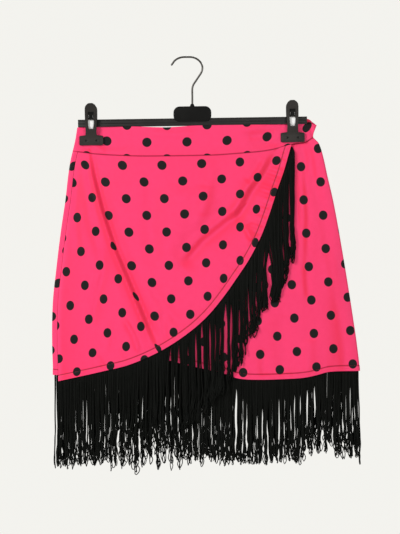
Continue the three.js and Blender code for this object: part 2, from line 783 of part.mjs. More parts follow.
function addMesh(parent, name, geometry, material) {
  const mesh = new THREE.Mesh(geometry, material);
  mesh.name = name;
  parent.add(mesh);
}

const pinkCloth = () => finish(colours.pink, 0.6);
addMesh(model, 'waistband_front', bandGeometry(-1, bandTopFront), pinkCloth());
addMesh(model, 'waistband_back', bandGeometry(1, bandTopBack), pinkCloth());
addMesh(model, 'over_panel', wrapGeometry({
  sideX: overSeamX,
  stations: seamStations.filter((x) => x <= overEdge[0].x),
  edge: overCurve,
  rows: 19,
  deepAt: () => layer.over,
  rounded: false,
  skew: 0.92,
}), pinkCloth());
const underSideX = (z) => rightAt(z) - skirtRadius(rightAt(z), z);
const underStart = underSideX(meet(underSideX, seamAt));
addMesh(model, 'under_panel', wrapGeometry({
  sideX: underSideX,
  stations: [underStart, ...seamStations.slice(1).reverse()],
  edge: underCurve,
  rows: 15,
  deepAt: underDepth,
  rounded: true,
  skew: 1,
}), pinkCloth());
addMesh(model, 'back_panel', backGeometry(), pinkCloth());

const overRead = edgeReader(overCurve);
const underRead = edgeReader(underCurve);
addMesh(model, 'fringe_over', fringeGeometry({
  side: -1,
  from: overFringeSpan.from,
  to: overFringeSpan.to,
  edgeAt: overRead.heightAt,
  slopeAt: overRead.slopeAt,
  endAt: (x) => readTable(overEnds, 'x', 'z', x),
  deepAt: () => layer.fringeOver,
  hangAt: () => layer.fringeOut,
  bends: hangBends.over,
  drift: (x, drop) => topLocksDrift.reach
    * step01((x - topLocksDrift.from) / topLocksDrift.over) * step01(drop / topLocksDrift.drop),
}), finish(colours.black, 0.55));
addMesh(model, 'fringe_under', fringeGeometry({
  side: -1,
  from: underFringeFrom,
  to: rightAt(fringeInset.at) - fringeInset.under,
  edgeAt: underRead.heightAt,
  slopeAt: underRead.slopeAt,
  endAt: (x) => readTable(underEnds, 'x', 'z', x),
  deepAt: (x, z) => underDepth(x, z) + layer.fringeUnder,
  hangAt: (x, z) => underDepth(x, z) + layer.fringeUnder,
  bends: hangBends.others,
  drift: () => 0,
}), finish(colours.black, 0.55));
addMesh(model, 'fringe_back', fringeGeometry({
  side: 1,
  from: leftAt(fringeInset.at) + fringeInset.back,
  to: rightAt(fringeInset.at) - fringeInset.back,
  edgeAt: (x) => readTable(backHem, 'x', 'z', x),
  slopeAt: () => 0,
  endAt: (x) => readTable(backEnds, 'x', 'z', x),
  deepAt: () => layer.backing,
  hangAt: () => layer.backing,
  bends: hangBends.others,
  drift: () => 0,
}), finish(colours.black, 0.55));

const barGroup = new THREE.Group();
barGroup.position.set(...bar.middle);
barGroup.rotation.y = -bar.tilt;
model.add(barGroup);
addMesh(barGroup, 'hanger_bar', barGeometry(), finish(colours.bar, 0.5));
addMesh(model, 'hanger_hook', hookGeometry(), finish(colours.steel, 0.3, 0.9));

for (const { name, top } of clipPlaces) {
  const clip = new THREE.Group();
  clip.position.set(...top);
  clip.rotation.y = -bar.tilt;
  model.add(clip);
  addMesh(clip, `${name}_front`, jawGeometry(-1, [jaw.window, jaw.slot]), finish(colours.plastic, 0.45));
  addMesh(clip, `${name}_back`, jawGeometry(1, [jaw.window]), finish(colours.plastic, 0.45));
  addMesh(clip, `${name}_spring`, springGeometry(), finish(colours.steel, 0.25, 0.95));
}

export default model;
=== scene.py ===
import math

import bpy
import bmesh
import numpy as np
from mathutils import Matrix, Vector


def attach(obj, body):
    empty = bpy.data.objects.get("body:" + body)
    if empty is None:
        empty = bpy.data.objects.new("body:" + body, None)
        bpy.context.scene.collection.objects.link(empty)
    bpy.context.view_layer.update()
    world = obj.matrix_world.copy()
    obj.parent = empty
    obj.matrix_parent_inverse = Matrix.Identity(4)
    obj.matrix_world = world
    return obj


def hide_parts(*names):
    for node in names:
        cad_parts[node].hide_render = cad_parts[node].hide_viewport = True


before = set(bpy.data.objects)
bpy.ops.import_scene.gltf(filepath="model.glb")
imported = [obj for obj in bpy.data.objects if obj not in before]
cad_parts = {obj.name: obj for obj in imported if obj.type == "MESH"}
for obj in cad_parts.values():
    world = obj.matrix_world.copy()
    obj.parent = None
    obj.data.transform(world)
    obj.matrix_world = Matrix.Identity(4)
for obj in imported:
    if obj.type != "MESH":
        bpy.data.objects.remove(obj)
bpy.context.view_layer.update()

# Fringe mini skirt with a wrapped front on a clip hanger. Sizes are written in
# millimetres, with the origin at the inside top of the hook and the front facing -Y.
scene = bpy.context.scene
mm = 0.001


# Camera, and the sizes of what stands round the skirt

stageSizes = {
    "centreX": 20.4, "centreZ": -328.0,   # what the middle of the picture shows
    "viewHeight": 838.0,                  # height of the picture at the skirt
    "distance": 2400.0,
    "floorLevel": -1250.0, "floorRadius": 1500.0,
    "wallTone": (0.90, 0.893, 0.855), "floorTone": (0.80, 0.80, 0.78), "floorWorn": (0.77, 0.77, 0.75),
    "ambient": 0.42,                      # share of the wall's tone that lights the skirt
}


def lookFrom(sizes):
    camera = bpy.data.objects.new("camera", bpy.data.cameras.new("camera"))
    scene.collection.objects.link(camera)
    scene.camera = camera
    camera.data.sensor_width = 36.0
    camera.data.lens = 36.0 * sizes["distance"] / sizes["viewHeight"]
    camera.data.clip_start = 0.1
    camera.data.clip_end = 30.0
    camera.location = Vector((sizes["centreX"], -sizes["distance"], sizes["centreZ"])) * mm
    camera.rotation_euler = (math.radians(90), 0, 0)


lookFrom(stageSizes)
print("camera is set")


# Curves and tables

def step01(t):
    c = np.clip(t, 0.0, 1.0)
    return c * c * (3 - 2 * c)


def mix(a, b, t):
    return a + (b - a) * t


def readTable(rows, at, column=1):
    # Smooth value of a table of rising rows at one or many places.
    table = np.array(rows, float)
    keys, values = table[:, 0], table[:, column]
    last = len(keys) - 1
    at = np.clip(at, keys[0], keys[-1])
    i = np.clip(np.searchsorted(keys, at, side="right") - 1, 0, last - 1)

    def slope(k):
        a, b = np.maximum(k - 1, 0), np.minimum(k + 1, last)
        return (values[b] - values[a]) / (keys[b] - keys[a])

    span = keys[i + 1] - keys[i]
    t = (at - keys[i]) / span
    h = 3 * t * t - 2 * t ** 3
    start = t * (1 - t) ** 2 * span * slope(i)
    end = t * t * (t - 1) * span * slope(i + 1)
    return values[i] * (1 - h) + values[i + 1] * h + start + end


def curveThrough(points, count=900):
    # Evenly spaced places on a smooth curve through the points.
    p = np.array(points, float)
    p = np.vstack([2 * p[0] - p[1], p, 2 * p[-1] - p[-2]])
    t = np.linspace(0, 1, 40)[:, None]
    parts = []
    for k in range(1, len(p) - 2):
        gaps = [math.sqrt(math.dist(p[n], p[n + 1])) for n in (k - 1, k, k + 1)]
        before, span, after = gaps
        here = (p[k + 1] - p[k]) / span
        first = (p[k] - p[k - 1]) / before - (p[k + 1] - p[k - 1]) / (before + span) + here
        second = here - (p[k + 2] - p[k]) / (span + after) + (p[k + 2] - p[k + 1]) / after
        first, second = first * span, second * span
        square = -3 * p[k] + 3 * p[k + 1] - 2 * first - second
        cube = 2 * p[k] - 2 * p[k + 1] + first + second
        parts.append(p[k] + first * t + square * t ** 2 + cube * t ** 3)
    path = np.vstack(parts)
    reach = np.concatenate([[0], np.cumsum(np.linalg.norm(np.diff(path, axis=0), axis=1))])
    even = np.linspace(0, reach[-1], count)
    return np.stack([np.interp(even, reach, path[:, n]) for n in range(path.shape[1])], axis=1)


def alongCurve(curve, share):
    steps = np.linspace(0, 1, len(curve))
    return np.stack([np.interp(share, steps, curve[:, n]) for n in range(curve.shape[1])], axis=-1)


def curveLength(curve):
    return float(np.sum(np.linalg.norm(np.diff(curve, axis=0), axis=1)))


# The skirt's form, the same as that of the solids

cloth = {"panel": 1.0, "band": 1.6, "seamGap": 0.06, "sideGap": 0.2, "sideSeam": 8.5}
layer = {"fringeOver": 1.3, "under": 2.65, "underTop": 1.9, "fringeUnder": 1.8, "backing": 1.3}
fold = {"band": 2.2, "skirt": 3.2, "opensOver": 12, "swellLength": 55}
hemDepthHeight = -505.0
swell = [(-505, 16.0), (-400, 15.0), (-300, 13.5), (-220, 10.5), (-170, 7.5), (-140, 5.2), (-105, 4.2)]
outline = [
    (-650.0, -209.0, 274.0), (-494.0, -210.4, 271.3), (-449.0, -211.6, 266.6),
    (-411.0, -211.6, 261.1), (-374.0, -209.9, 255.4), (-336.0, -205.7, 249.3),
    (-298.0, -201.3, 242.9), (-260.0, -196.3, 236.3), (-223.0, -190.8, 229.2),
    (-185.0, -186.5, 220.4), (-160.0, -182.6, 215.0), (-143.0, -178.6, 210.4),
    (-132.0, -176.0, 205.7), (-124.0, -174.5, 198.0), (-105.2, -171.6, 203.5),
]
bandTopFront = [
    (-171.6, -109.1), (-130.0, -108.4), (-84.0, -107.8), (-62.0, -108.5), (-34.5, -109.2),
    (-12.0, -108.0), (12.6, -106.4), (83.2, -105.3), (138.2, -104.5), (188.5, -103.9), (203.5, -105.2),
]
bandTopBack = bandTopFront[:-2] + [(178.0, -106.0), (184.5, -99.6), (189.5, -95.4), (203.5, -105.2)]
waistSeam = [
    (-179.8, -146.6), (-170.5, -147.4), (-138.5, -151.2), (-95.3, -153.5), (-61.5, -154.3),
    (38.3, -152.8), (67.5, -151.0), (115.6, -146.8), (139.6, -142.6), (151.7, -138.9),
    (163.3, -135.8), (170.5, -134.2), (185.3, -132.0), (198.1, -124.8),
]
raisedCorner = {"start": 175, "over": 4, "from": -112.5, "slope": 0.56}
overEdge = curveThrough([
    (-202.0, -506.8), (-131.7, -490.9), (-89.5, -480.3), (-38.5, -457.7), (5.8, -428.3),
    (33.1, -403.6), (57.0, -374.6), (80.9, -340.5), (96.4, -317.1), (115.6, -280.1),
    (127.6, -248.8), (141.9, -205.7), (151.7, -178.0), (161.2, -145.0), (163.6, -137.5),
])
underEdge = curveThrough([
    (271.3, -490.8), (223.7, -492.2), (206.0, -496.7), (187.9, -500.5), (161.7, -502.7),
    (83.2, -502.4), (57.0, -493.9), (22.9, -486.2), (-16.3, -476.8), (-34.5, -471.8),
    (-72.0, -459.0), (-108.0, -440.0), (-136.0, -408.0), (-154.0, -362.0), (-164.0, -300.0),
    (-168.0, -230.0), (-165.0, -158.0),
])
backHem = [
    (-210.4, -497.0), (-150.0, -500.0), (-85.0, -501.6), (60.0, -501.6), (170.0, -497.5), (271.3, -491.0),
]
clipTops = {"left": (-150.8, 0.0, -71.8), "right": (164.9, 0.0, -66.9)}
pinch = {"flat": 20, "reach": 78, "fades": 95, "footDrop": 65.0, "off": 1}
underFade = {
    "seam": 20, "fringeFrom": 120, "fringeOver": 25, "fringeTo": 165, "sideFrom": 3.5, "sideOver": 24,
}

# Creases: a ridge stands out by its height, a trough is one with a minus, and a drag
# line is a ridge with a trough on its right. Each row is kind, height, width, route.
frontCreases = [
    ("drag", 1.6, 11, [(-150, -150), (-143, -194), (-124, -264), (-90, -350), (-58, -429), (-47, -460)]),
    ("ridge", -1.2, 14, [(-138, -296), (-134, -345), (-147, -385), (-148, -420)]),
    ("ridge", 0.9, 7, [(-95, -409), (-80, -434), (-72, -462)]),
    ("ridge", -2.2, 26, [(86, -234), (22, -286), (-12, -326)]),
    ("drag", 1.2, 12, [(136, -146), (116, -182), (97, -208), (80, -240), (70, -260)]),
    ("ridge", 0.9, 9, [(92, -262), (104, -288)]),
    ("drag", 1.0, 6, [(184, -142), (183, -190), (186, -250), (184, -330)]),
    ("ridge", 1.4, 22, [(230, -300), (222, -390), (226, -495)]),
    ("ridge", -1.3, 18, [(150, -400), (148, -450), (152, -505)]),
    ("ridge", 1.2, 24, [(0, -200), (-14, -260), (-30, -330)]),
]
backCreases = [
    ("drag", 1.6, 11, [(-148, -150), (-132, -230), (-104, -320), (-70, -420)]),
    ("drag", 1.5, 10, [(165, -140), (150, -220), (128, -300), (112, -360)]),
    ("ridge", 1.6, 26, [(-20, -260), (-26, -360), (-18, -500)]),
    ("ridge", -1.4, 20, [(60, -320), (66, -410), (58, -500)]),
    ("ridge", 1.2, 18, [(215, -280), (222, -380), (218, -490)]),
]
# Finer creases that only the cloth shows.
fineFront = [
    ("drag", 2.9, 4.6, [(-152, -148), (-146, -184), (-132, -240), (-112, -300), (-90, -352), (-66, -410),
                        (-50, -448)]),
    ("ridge", 1.3, 5, [(-160, -132), (-146, -138), (-126, -149)]),
    ("ridge", 1.3, 8, [(-164, -150), (-160, -200), (-150, -260), (-132, -320)]),
    ("ridge", -0.8, 6, [(-174, -190), (-176, -250), (-170, -310)]),
    ("ridge", -0.9, 9, [(-60, -352), (-34, -392), (-8, -420)]),
    ("ridge", 0.9, 10, [(40, -160), (30, -220), (8, -280)]),
    ("ridge", 0.5, 8, [(206, -230), (214, -300), (226, -372)]),
    ("ridge", -0.4, 7, [(236, -380), (246, -440), (250, -486)]),
    ("ridge", 0.7, 6, [(60, -470), (74, -496)]),
    ("ridge", -0.6, 5, [(-158, -141), (-140, -146)]),
    ("drag", 0.6, 6, [(-137, -297), (-133, -332), (-143, -370), (-149, -400), (-149, -424)]),
    ("drag", 0.9, 5, [(-95, -409), (-81, -434), (-72, -462)]),
    ("ridge", -0.8, 5, [(-39, -398), (-33, -443)]),
    ("ridge", 0.55, 3, [(-117, -413), (-115, -440), (-121, -462)]),
    ("ridge", -0.6, 3.5, [(-140, -468), (-131, -484)]),
    ("ridge", 0.5, 3, [(-101, -452), (-97, -470)]),
    ("drag", 1.9, 8, [(136, -148), (116, -183), (98, -208), (84, -234), (72, -256)]),
    ("drag", 1.8, 8.5, [(84, -236), (52, -262), (22, -286), (-10, -324)]),
    ("ridge", 0.9, 4, [(90, -266), (102, -286)]),
    ("ridge", -0.9, 7, [(118, -158), (104, -182), (92, -196)]),
    ("drag", 0.8, 3.5, [(173.5, -138), (173, -190), (175, -232), (176, -268)]),
    ("ridge", -0.6, 4, [(180, -138), (184, -165), (185, -182)]),
    ("ridge", 0.6, 3.5, [(188, -140), (191, -165), (190, -205)]),
    ("ridge", 0.5, 4, [(198, -138), (203, -165), (204, -190)]),
    ("drag", 1.1, 7, [(183, -325), (184, -352), (187, -380)]),
    ("ridge", -1.0, 8, [(118, -455), (122, -500)]),
    ("ridge", 1.0, 9, [(192, -440), (190, -498)]),
    ("ridge", 1.0, 12, [(28, -200), (24, -250)]),
    ("ridge", -1.2, 14, [(-52, -190), (-58, -262), (-50, -330)]),
    ("ridge", 0.8, 6, [(83, -114), (118, -110), (150, -107)]),
    ("ridge", -0.8, 6, [(96, -124), (140, -119)]),
    ("ridge", 0.6, 6, [(-60, -118), (-20, -121), (18, -117)]),
    ("drag", 1.1, 3, [(194.5, -102), (196.0, -122)]),
]
fineBack = [
    ("drag", 1.1, 4.4, [(-150, -150), (-134, -226), (-108, -310), (-84, -380)]),
    ("drag", 1.1, 4.6, [(167, -140), (154, -205), (134, -280), (120, -340)]),
    ("ridge", 0.8, 6, [(-60, -160), (-66, -210), (-64, -250)]),
    ("ridge", -0.8, 6, [(30, -160), (34, -200), (30, -260)]),
    ("ridge", 0.8, 7, [(100, -430), (106, -490)]),
    ("ridge", -0.8, 7, [(-120, -440), (-116, -495)]),
    ("ridge", 0.7, 9, [(-160, -330), (-168, -410), (-164, -470)]),
    ("drag", 0.6, 7, [(190, -180), (196, -250), (204, -310)]),
    ("ridge", 0.5, 6, [(-110, -122), (-60, -128), (-20, -124)]),
    ("ridge", -0.45, 5, [(60, -118), (110, -122)]),
]
creaseFade = {"side": 15, "start": 0.35, "end": 0.2, "rate": 4, "dragSlope": 1.6}


def leftAt(z):
    return readTable(outline, z, 1)


def rightAt(z):
    return readTable(outline, z, 2)


def seamAt(x):
    return readTable(waistSeam, x)


def pinchAt(x, z):
    most = np.zeros(np.broadcast(x, z).shape)
    for top in clipTops.values():
        away = np.abs(x - top[0] - pinch["off"]) - pinch["flat"]
        aside = 1 - step01(away / (pinch["reach"] - pinch["flat"]))
        below = 1 - step01((top[2] - pinch["footDrop"] - pinch["off"] - z) / pinch["fades"])
        most = np.maximum(most, aside * below)
    return most


def footHeight(x):
    left, right = clipTops["left"], clipTops["right"]
    slope = (right[2] - left[2]) / (right[0] - left[0])
    return left[2] + (x - left[0]) * slope - pinch["footDrop"]


def creaseAt(creases, x, z):
    total = np.zeros(np.broadcast(x, z).shape)
    for kind, height, width, route in creases:
        best = np.full(total.shape, np.inf)
        along = np.zeros(total.shape)
        aside = np.zeros(total.shape)
        for n, ((ax, az), (bx, bz)) in enumerate(zip(route, route[1:])):
            dx, dz = bx - ax, bz - az
            t = np.clip(((x - ax) * dx + (z - az) * dz) / (dx * dx + dz * dz), 0, 1)
            ox, oz = x - ax - t * dx, z - az - t * dz
            gap = np.hypot(ox, oz)
            near = gap < best
            best = np.where(near, gap, best)
            along = np.where(near, (n + t) / (len(route) - 1), along)
            aside = np.where(near, np.sign(dx * oz - dz * ox) * gap, aside)
        fade = step01(along * creaseFade["rate"] + creaseFade["start"])
        fade = fade * step01((1 - along) * creaseFade["rate"] + creaseFade["end"])
        bell = np.exp(-(best / width) ** 2)
        if kind == "drag":
            bell = -creaseFade["dragSlope"] * aside * bell / width
        total += height * bell * fade
    return total


def sideRadius(x, z):
    level = np.maximum(z, hemDepthHeight)
    return fold["band"] + (fold["skirt"] - fold["band"]) * step01((footHeight(x) - level) / fold["opensOver"])


def halfDepth(side, x, z):
    # Distance of the outermost face from the middle of the closed skirt.
    level = np.maximum(z, hemDepthHeight)
    radius = sideRadius(x, z)
    edge = np.minimum(x - leftAt(z), rightAt(z) - x) - radius
    full = np.maximum(readTable(swell, level) - radius, 0)
    wide, fine = (frontCreases, fineFront) if side < 0 else (backCreases, fineBack)
    held = 1 - pinchAt(x, level)
    wrinkle = creaseAt(wide, x, level) * held + creaseAt(fine, x, level) * mix(0.55, 1.0, held)
    wrinkle = wrinkle * step01(edge / creaseFade["side"])
    inside = np.maximum(edge, 0)
    swollen = held * full * (1 - np.exp(-inside / fold["swellLength"]))
    return np.where(edge > 0, radius + swollen + wrinkle, radius)


def wallPoint(side, x, z, deep):
    # Points of a wall, deep behind its outermost face, and their place across the flat cloth.
    radius = sideRadius(x, z)
    left, right = leftAt(z) + radius, rightAt(z) - radius
    middle = np.clip(x, left, right)
    out = np.clip(np.abs(x - middle) / radius, 0, 1)
    hand = np.sign(x - middle)
    inner = radius - deep
    y = np.where(x == middle, halfDepth(side, x, z) - deep, np.sqrt(1 - out * out) * inner)
    points = np.stack(np.broadcast_arrays(middle + hand * out * inner, side * y, z), axis=-1)
    return points, middle + hand * radius * np.arcsin(out)


def underDepth(x, z):
    below = step01((seamAt(x) - z) / underFade["seam"])
    pastFringe = step01((x - underFade["fringeTo"]) / underFade["fringeOver"])
    nearFringe = step01((x - underFade["fringeFrom"]) / underFade["fringeOver"]) * (1 - pastFringe)
    full = mix(layer["underTop"], layer["under"], np.maximum(below, nearFringe))
    return full * step01((rightAt(z) - x - underFade["sideFrom"]) / underFade["sideOver"])


def overSeamX(z):
    return leftAt(z) + cloth["sideSeam"] + cloth["sideGap"]


def nearestOnEdge(edge, x, z):
    # Distance from an edge, and how far along the edge the nearest place lies.
    spacing = curveLength(edge) / (len(edge) - 1)
    flat = np.stack([np.ravel(x), np.ravel(z)], axis=1)
    gap = np.empty(len(flat))
    along = np.empty(len(flat))
    for start in range(0, len(flat), 2000):
        block = flat[start:start + 2000]
        far = np.linalg.norm(block[:, None, :] - edge[None, :, :], axis=2)
        gap[start:start + 2000] = far.min(axis=1)
        along[start:start + 2000] = far.argmin(axis=1) * spacing
    return gap.reshape(np.shape(x)), along.reshape(np.shape(x))


# The dotted print: places are counted in columns and rows of the print

printSizes = {
    "acrossPitch": 62.8, "rowPitch": 26.2, "dotRadius": 7.35,
    "overOrigin": (22.3, -168.8), "overTop": -150.0,
    "bandOrigin": -125.6, "bandAboveSeam": 21.6,
    "underOrigin": (186.7, -275.1), "underTurn": 4.3, "underAcross": 57.5,
    "backOrigin": (-6.0, -170.0), "backLean": 0.05, "backLeanFrom": 20.0, "backLeanOver": 160.0,
}
# How the hang of the over panel moves its print aside and up. The long drag line hides a
# little cloth (the tucks), and beside it the print is pulled down.
overShift = {
    "lineSoft": 10.0, "aside": 6.0, "asideFrom": -20.0, "asideOver": 90.0, "asideTuck": 0.13,
    "leftFrom": -35.0, "leftShare": 0.04, "leftOver": 60.0, "rightFrom": 55.0, "rightShare": 0.08,
    "lift": 0.07, "liftAtTop": 0.6, "liftOver": 100.0, "liftBeside": 0.045, "liftTuck": 0.19,
    "liftTuckOver": 120.0,
}
# How far each column of dots leans to the right on its way down, by its place at the top.
columnLean = [
    (-180, 0.085), (-70, 0.082), (-40, 0.07), (-7, 0.056), (23, 0.045), (55, 0.0175), (85, 0.0),
    (113, -0.04), (141, -0.08),
]


def overPrint(x, z):
    s, h = printSizes, overShift
    drop = s["overTop"] - z
    lineX = readTable([(b, a) for a, b in reversed(frontCreases[0][3])], z)
    left = lineX - x
    tucked = np.maximum(left, 0)
    beside = step01((left + 0.5 * h["lineSoft"]) / h["lineSoft"])
    aside = x - h["aside"] * step01((drop - h["asideFrom"]) / h["asideOver"]) * beside
    aside = aside - h["asideTuck"] * tucked
    aside = aside - h["leftShare"] * np.maximum(h["leftFrom"] - x, 0) * step01(drop / h["leftOver"])
    u = aside
    for _ in range(10):
        u = aside - readTable(columnLean, u) * drop
    u = u + h["rightShare"] * np.maximum(u - h["rightFrom"], 0)
    more = mix(h["liftAtTop"], 1.0, step01(drop / h["liftOver"]))
    lift = h["lift"] * np.maximum(x - h["leftFrom"], 0) * more
    lift = lift + h["liftBeside"] * np.maximum(drop, 0) * beside
    lift = lift - h["liftTuck"] * tucked * step01(drop / h["liftTuckOver"])
    return (u - s["overOrigin"][0]) / s["acrossPitch"], (z - lift - s["overOrigin"][1]) / s["rowPitch"]


def bandPrint(x, z):
    s = printSizes
    above = z - seamAt(x) - s["bandAboveSeam"]
    return (x - s["bandOrigin"]) / s["acrossPitch"], above / s["rowPitch"]


def underPrint(x, z):
    s = printSizes
    turn = math.radians(s["underTurn"])
    dx, dz = x - s["underOrigin"][0], z - s["underOrigin"][1]
    across = dx * math.cos(turn) + dz * math.sin(turn)
    down = dz * math.cos(turn) - dx * math.sin(turn)
    return across / s["underAcross"], down / s["rowPitch"]


def backPrint(x, z):
    s = printSizes
    lean = s["backLean"] * np.tanh((s["backLeanFrom"] - x) / s["backLeanOver"])
    across = x - lean * (s["overTop"] - z) - s["backOrigin"][0]
    return across / s["acrossPitch"], (z - s["backOrigin"][1]) / s["rowPitch"]


# Shader helpers

def addNode(tree, kind, place, settings=None, **values):
    node = tree.nodes.new(kind)
    node.location = (place[0] * 190, -place[1] * 170)
    for key, value in (settings or {}).items():
        setattr(node, key, value)
    for key, value in values.items():
        node.inputs[key.replace("_", " ")].default_value = value
    return node


def mathNode(tree, place, operation, a, b=None, c=None):
    node = addNode(tree, "ShaderNodeMath", place, {"operation": operation})
    for n, value in enumerate((a, b, c)):
        if value is None:
            continue
        if isinstance(value, (int, float)):
            node.inputs[n].default_value = value
        else:
            tree.links.new(value, node.inputs[n])
    return node.outputs[0]


def newGroup(name, inputs, outputs, kind="ShaderNodeTree"):
    tree = bpy.data.node_groups.new(name, kind)
    for label, socketType, value in inputs:
        socket = tree.interface.new_socket(label, in_out="INPUT", socket_type=socketType)
        if value is not None:
            socket.default_value = value
    for label, socketType in outputs:
        tree.interface.new_socket(label, in_out="OUTPUT", socket_type=socketType)
    entry = tree.nodes.new("NodeGroupInput")
    entry.location = (-400, 0)
    leave = tree.nodes.new("NodeGroupOutput")
    leave.location = (1800, 0)
    return tree, entry.outputs, leave.inputs


def makeDotPrint():
    # Staggered round dots, from a place counted in columns and rows.
    tree, given, made = newGroup("dotPrint", [
        ("Place", "NodeSocketVector", None),
        ("Column pitch", "NodeSocketFloat", printSizes["acrossPitch"]),
        ("Row pitch", "NodeSocketFloat", printSizes["rowPitch"]),
        ("Dot radius", "NodeSocketFloat", printSizes["dotRadius"]),
        ("Edge softness", "NodeSocketFloat", 0.25),
        ("Edge wobble", "NodeSocketFloat", 0.35),
    ], [("Mask", "NodeSocketFloat")])
    link = tree.links.new
    split = addNode(tree, "ShaderNodeSeparateXYZ", (0, 0))
    link(given["Place"], split.inputs[0])
    row = mathNode(tree, (1, 1), "ROUND", split.outputs["Y"])
    odd = mathNode(tree, (2, 1), "FLOORED_MODULO", row, 2.0)
    cell = mathNode(tree, (3, 0), "MULTIPLY_ADD", odd, 0.5, split.outputs["X"])
    column = mathNode(tree, (4, 0), "ROUND", cell)
    fromColumn = mathNode(tree, (4, 1), "SUBTRACT", cell, column)
    fromRow = mathNode(tree, (4, 2), "SUBTRACT", split.outputs["Y"], row)
    across = mathNode(tree, (5, 0), "MULTIPLY", fromColumn, given["Column pitch"])
    up = mathNode(tree, (5, 1), "MULTIPLY", fromRow, given["Row pitch"])
    square = mathNode(tree, (6, 0), "MULTIPLY", across, across)
    gap = mathNode(tree, (7, 0), "SQRT", mathNode(tree, (6, 1), "MULTIPLY_ADD", up, up, square))
    noise = addNode(tree, "ShaderNodeTexNoise", (5, 3), Scale=26.0, Detail=2.0)
    link(given["Place"], noise.inputs["Vector"])
    shake = mathNode(tree, (6, 3), "SUBTRACT", noise.outputs["Fac"], 0.5)
    wobble = mathNode(tree, (7, 2), "MULTIPLY", shake, given["Edge wobble"])
    edge = mathNode(tree, (8, 0), "ADD", gap, wobble)
    soft = addNode(tree, "ShaderNodeMapRange", (9, 0), {"interpolation_type": "SMOOTHSTEP"},
                   To_Min=1.0, To_Max=0.0)
    link(edge, soft.inputs["Value"])
    inner = mathNode(tree, (8, 1), "SUBTRACT", given["Dot radius"], given["Edge softness"])
    link(inner, soft.inputs["From Min"])
    link(mathNode(tree, (8, 2), "ADD", given["Dot radius"], given["Edge softness"]), soft.inputs["From Max"])
    link(soft.outputs["Result"], made["Mask"])
    return tree


def makeCrepe():
    # Fine crepe: crossing threads with uneven grains, from a place in millimetres.
    tree, given, made = newGroup("crepeWeave", [
        ("Place", "NodeSocketVector", None),
        ("Thread", "NodeSocketFloat", 1.0),
    ], [("Height", "NodeSocketFloat"), ("Tone", "NodeSocketFloat")])
    link = tree.links.new
    size = addNode(tree, "ShaderNodeVectorMath", (0, 0), {"operation": "SCALE"})
    link(given["Place"], size.inputs[0])
    link(mathNode(tree, (-1, 1), "DIVIDE", 1.0, given["Thread"]), size.inputs["Scale"])
    ribs = []
    for n, axis in enumerate(("X", "Y")):
        wave = addNode(tree, "ShaderNodeTexWave", (1, n * 2), {"bands_direction": axis},
                       Scale=1.6, Distortion=1.2, Detail=1.0, Detail_Scale=0.6)
        link(size.outputs[0], wave.inputs["Vector"])
        ribs.append(wave.outputs["Fac"])
    grains = addNode(tree, "ShaderNodeTexNoise", (1, 4), Scale=1.3, Detail=3.0, Roughness=0.6)
    link(size.outputs[0], grains.inputs["Vector"])
    threads = mathNode(tree, (3, 0), "MAXIMUM", ribs[0], ribs[1])
    raised = mathNode(tree, (3, 3), "MULTIPLY", grains.outputs["Fac"], 0.8)
    height = mathNode(tree, (4, 0), "MULTIPLY_ADD", threads, 0.45, raised)
    link(height, made["Height"])
    slubs = addNode(tree, "ShaderNodeTexNoise", (1, 6), Scale=0.09, Detail=2.0)
    link(size.outputs[0], slubs.inputs["Vector"])
    speckle = mathNode(tree, (3, 5), "MULTIPLY", grains.outputs["Fac"], 0.5)
    tone = mathNode(tree, (4, 3), "MULTIPLY_ADD", slubs.outputs["Fac"], 0.5, speckle)
    link(tone, made["Tone"])
    return tree


def makeGrain():
    # Fine moulded or drawn grain with larger uneven patches.
    tree, given, made = newGroup("fineGrain", [
        ("Place", "NodeSocketVector", None),
        ("Fineness", "NodeSocketFloat", 1200.0),
        ("Patches", "NodeSocketFloat", 25.0),
    ], [("Height", "NodeSocketFloat"), ("Patch", "NodeSocketFloat")])
    link = tree.links.new
    fine = addNode(tree, "ShaderNodeTexNoise", (0, 0), Detail=4.0, Roughness=0.65)
    wide = addNode(tree, "ShaderNodeTexNoise", (0, 2), Detail=3.0)
    link(given["Fineness"], fine.inputs["Scale"])
    link(given["Patches"], wide.inputs["Scale"])
    for node in (fine, wide):
        link(given["Place"], node.inputs["Vector"])
    link(fine.outputs["Fac"], made["Height"])
    link(wide.outputs["Fac"], made["Patch"])
    return tree


dotPrint, crepeWeave, fineGrain = makeDotPrint(), makeCrepe(), makeGrain()


def newMaterial(name, viewColour):
    material = bpy.data.materials.new(name)
    material.use_nodes = True
    material.diffuse_color = (*viewColour, 1)
    tree = material.node_tree
    return material, tree, tree.nodes["Principled BSDF"]


def addGroup(tree, group, place, **values):
    node = addNode(tree, "ShaderNodeGroup", place, {"node_tree": group})
    for key, value in values.items():
        node.inputs[key.replace("_", " ")].default_value = value
    return node


def blendColours(tree, place, amount, first, second):
    node = addNode(tree, "ShaderNodeMix", place, {"data_type": "RGBA"})
    tree.links.new(amount, node.inputs["Factor"])
    for n, value in ((6, first), (7, second)):
        if isinstance(value, tuple):
            node.inputs[n].default_value = (*value, 1)
        else:
            tree.links.new(value, node.inputs[n])
    return node.outputs[2]


def addBump(tree, shader, place, height, distance, strength=1.0):
    bump = addNode(tree, "ShaderNodeBump", place, Strength=strength, Distance=distance * mm)
    tree.links.new(height, bump.inputs["Height"])
    tree.links.new(bump.outputs["Normal"], shader.inputs["Normal"])


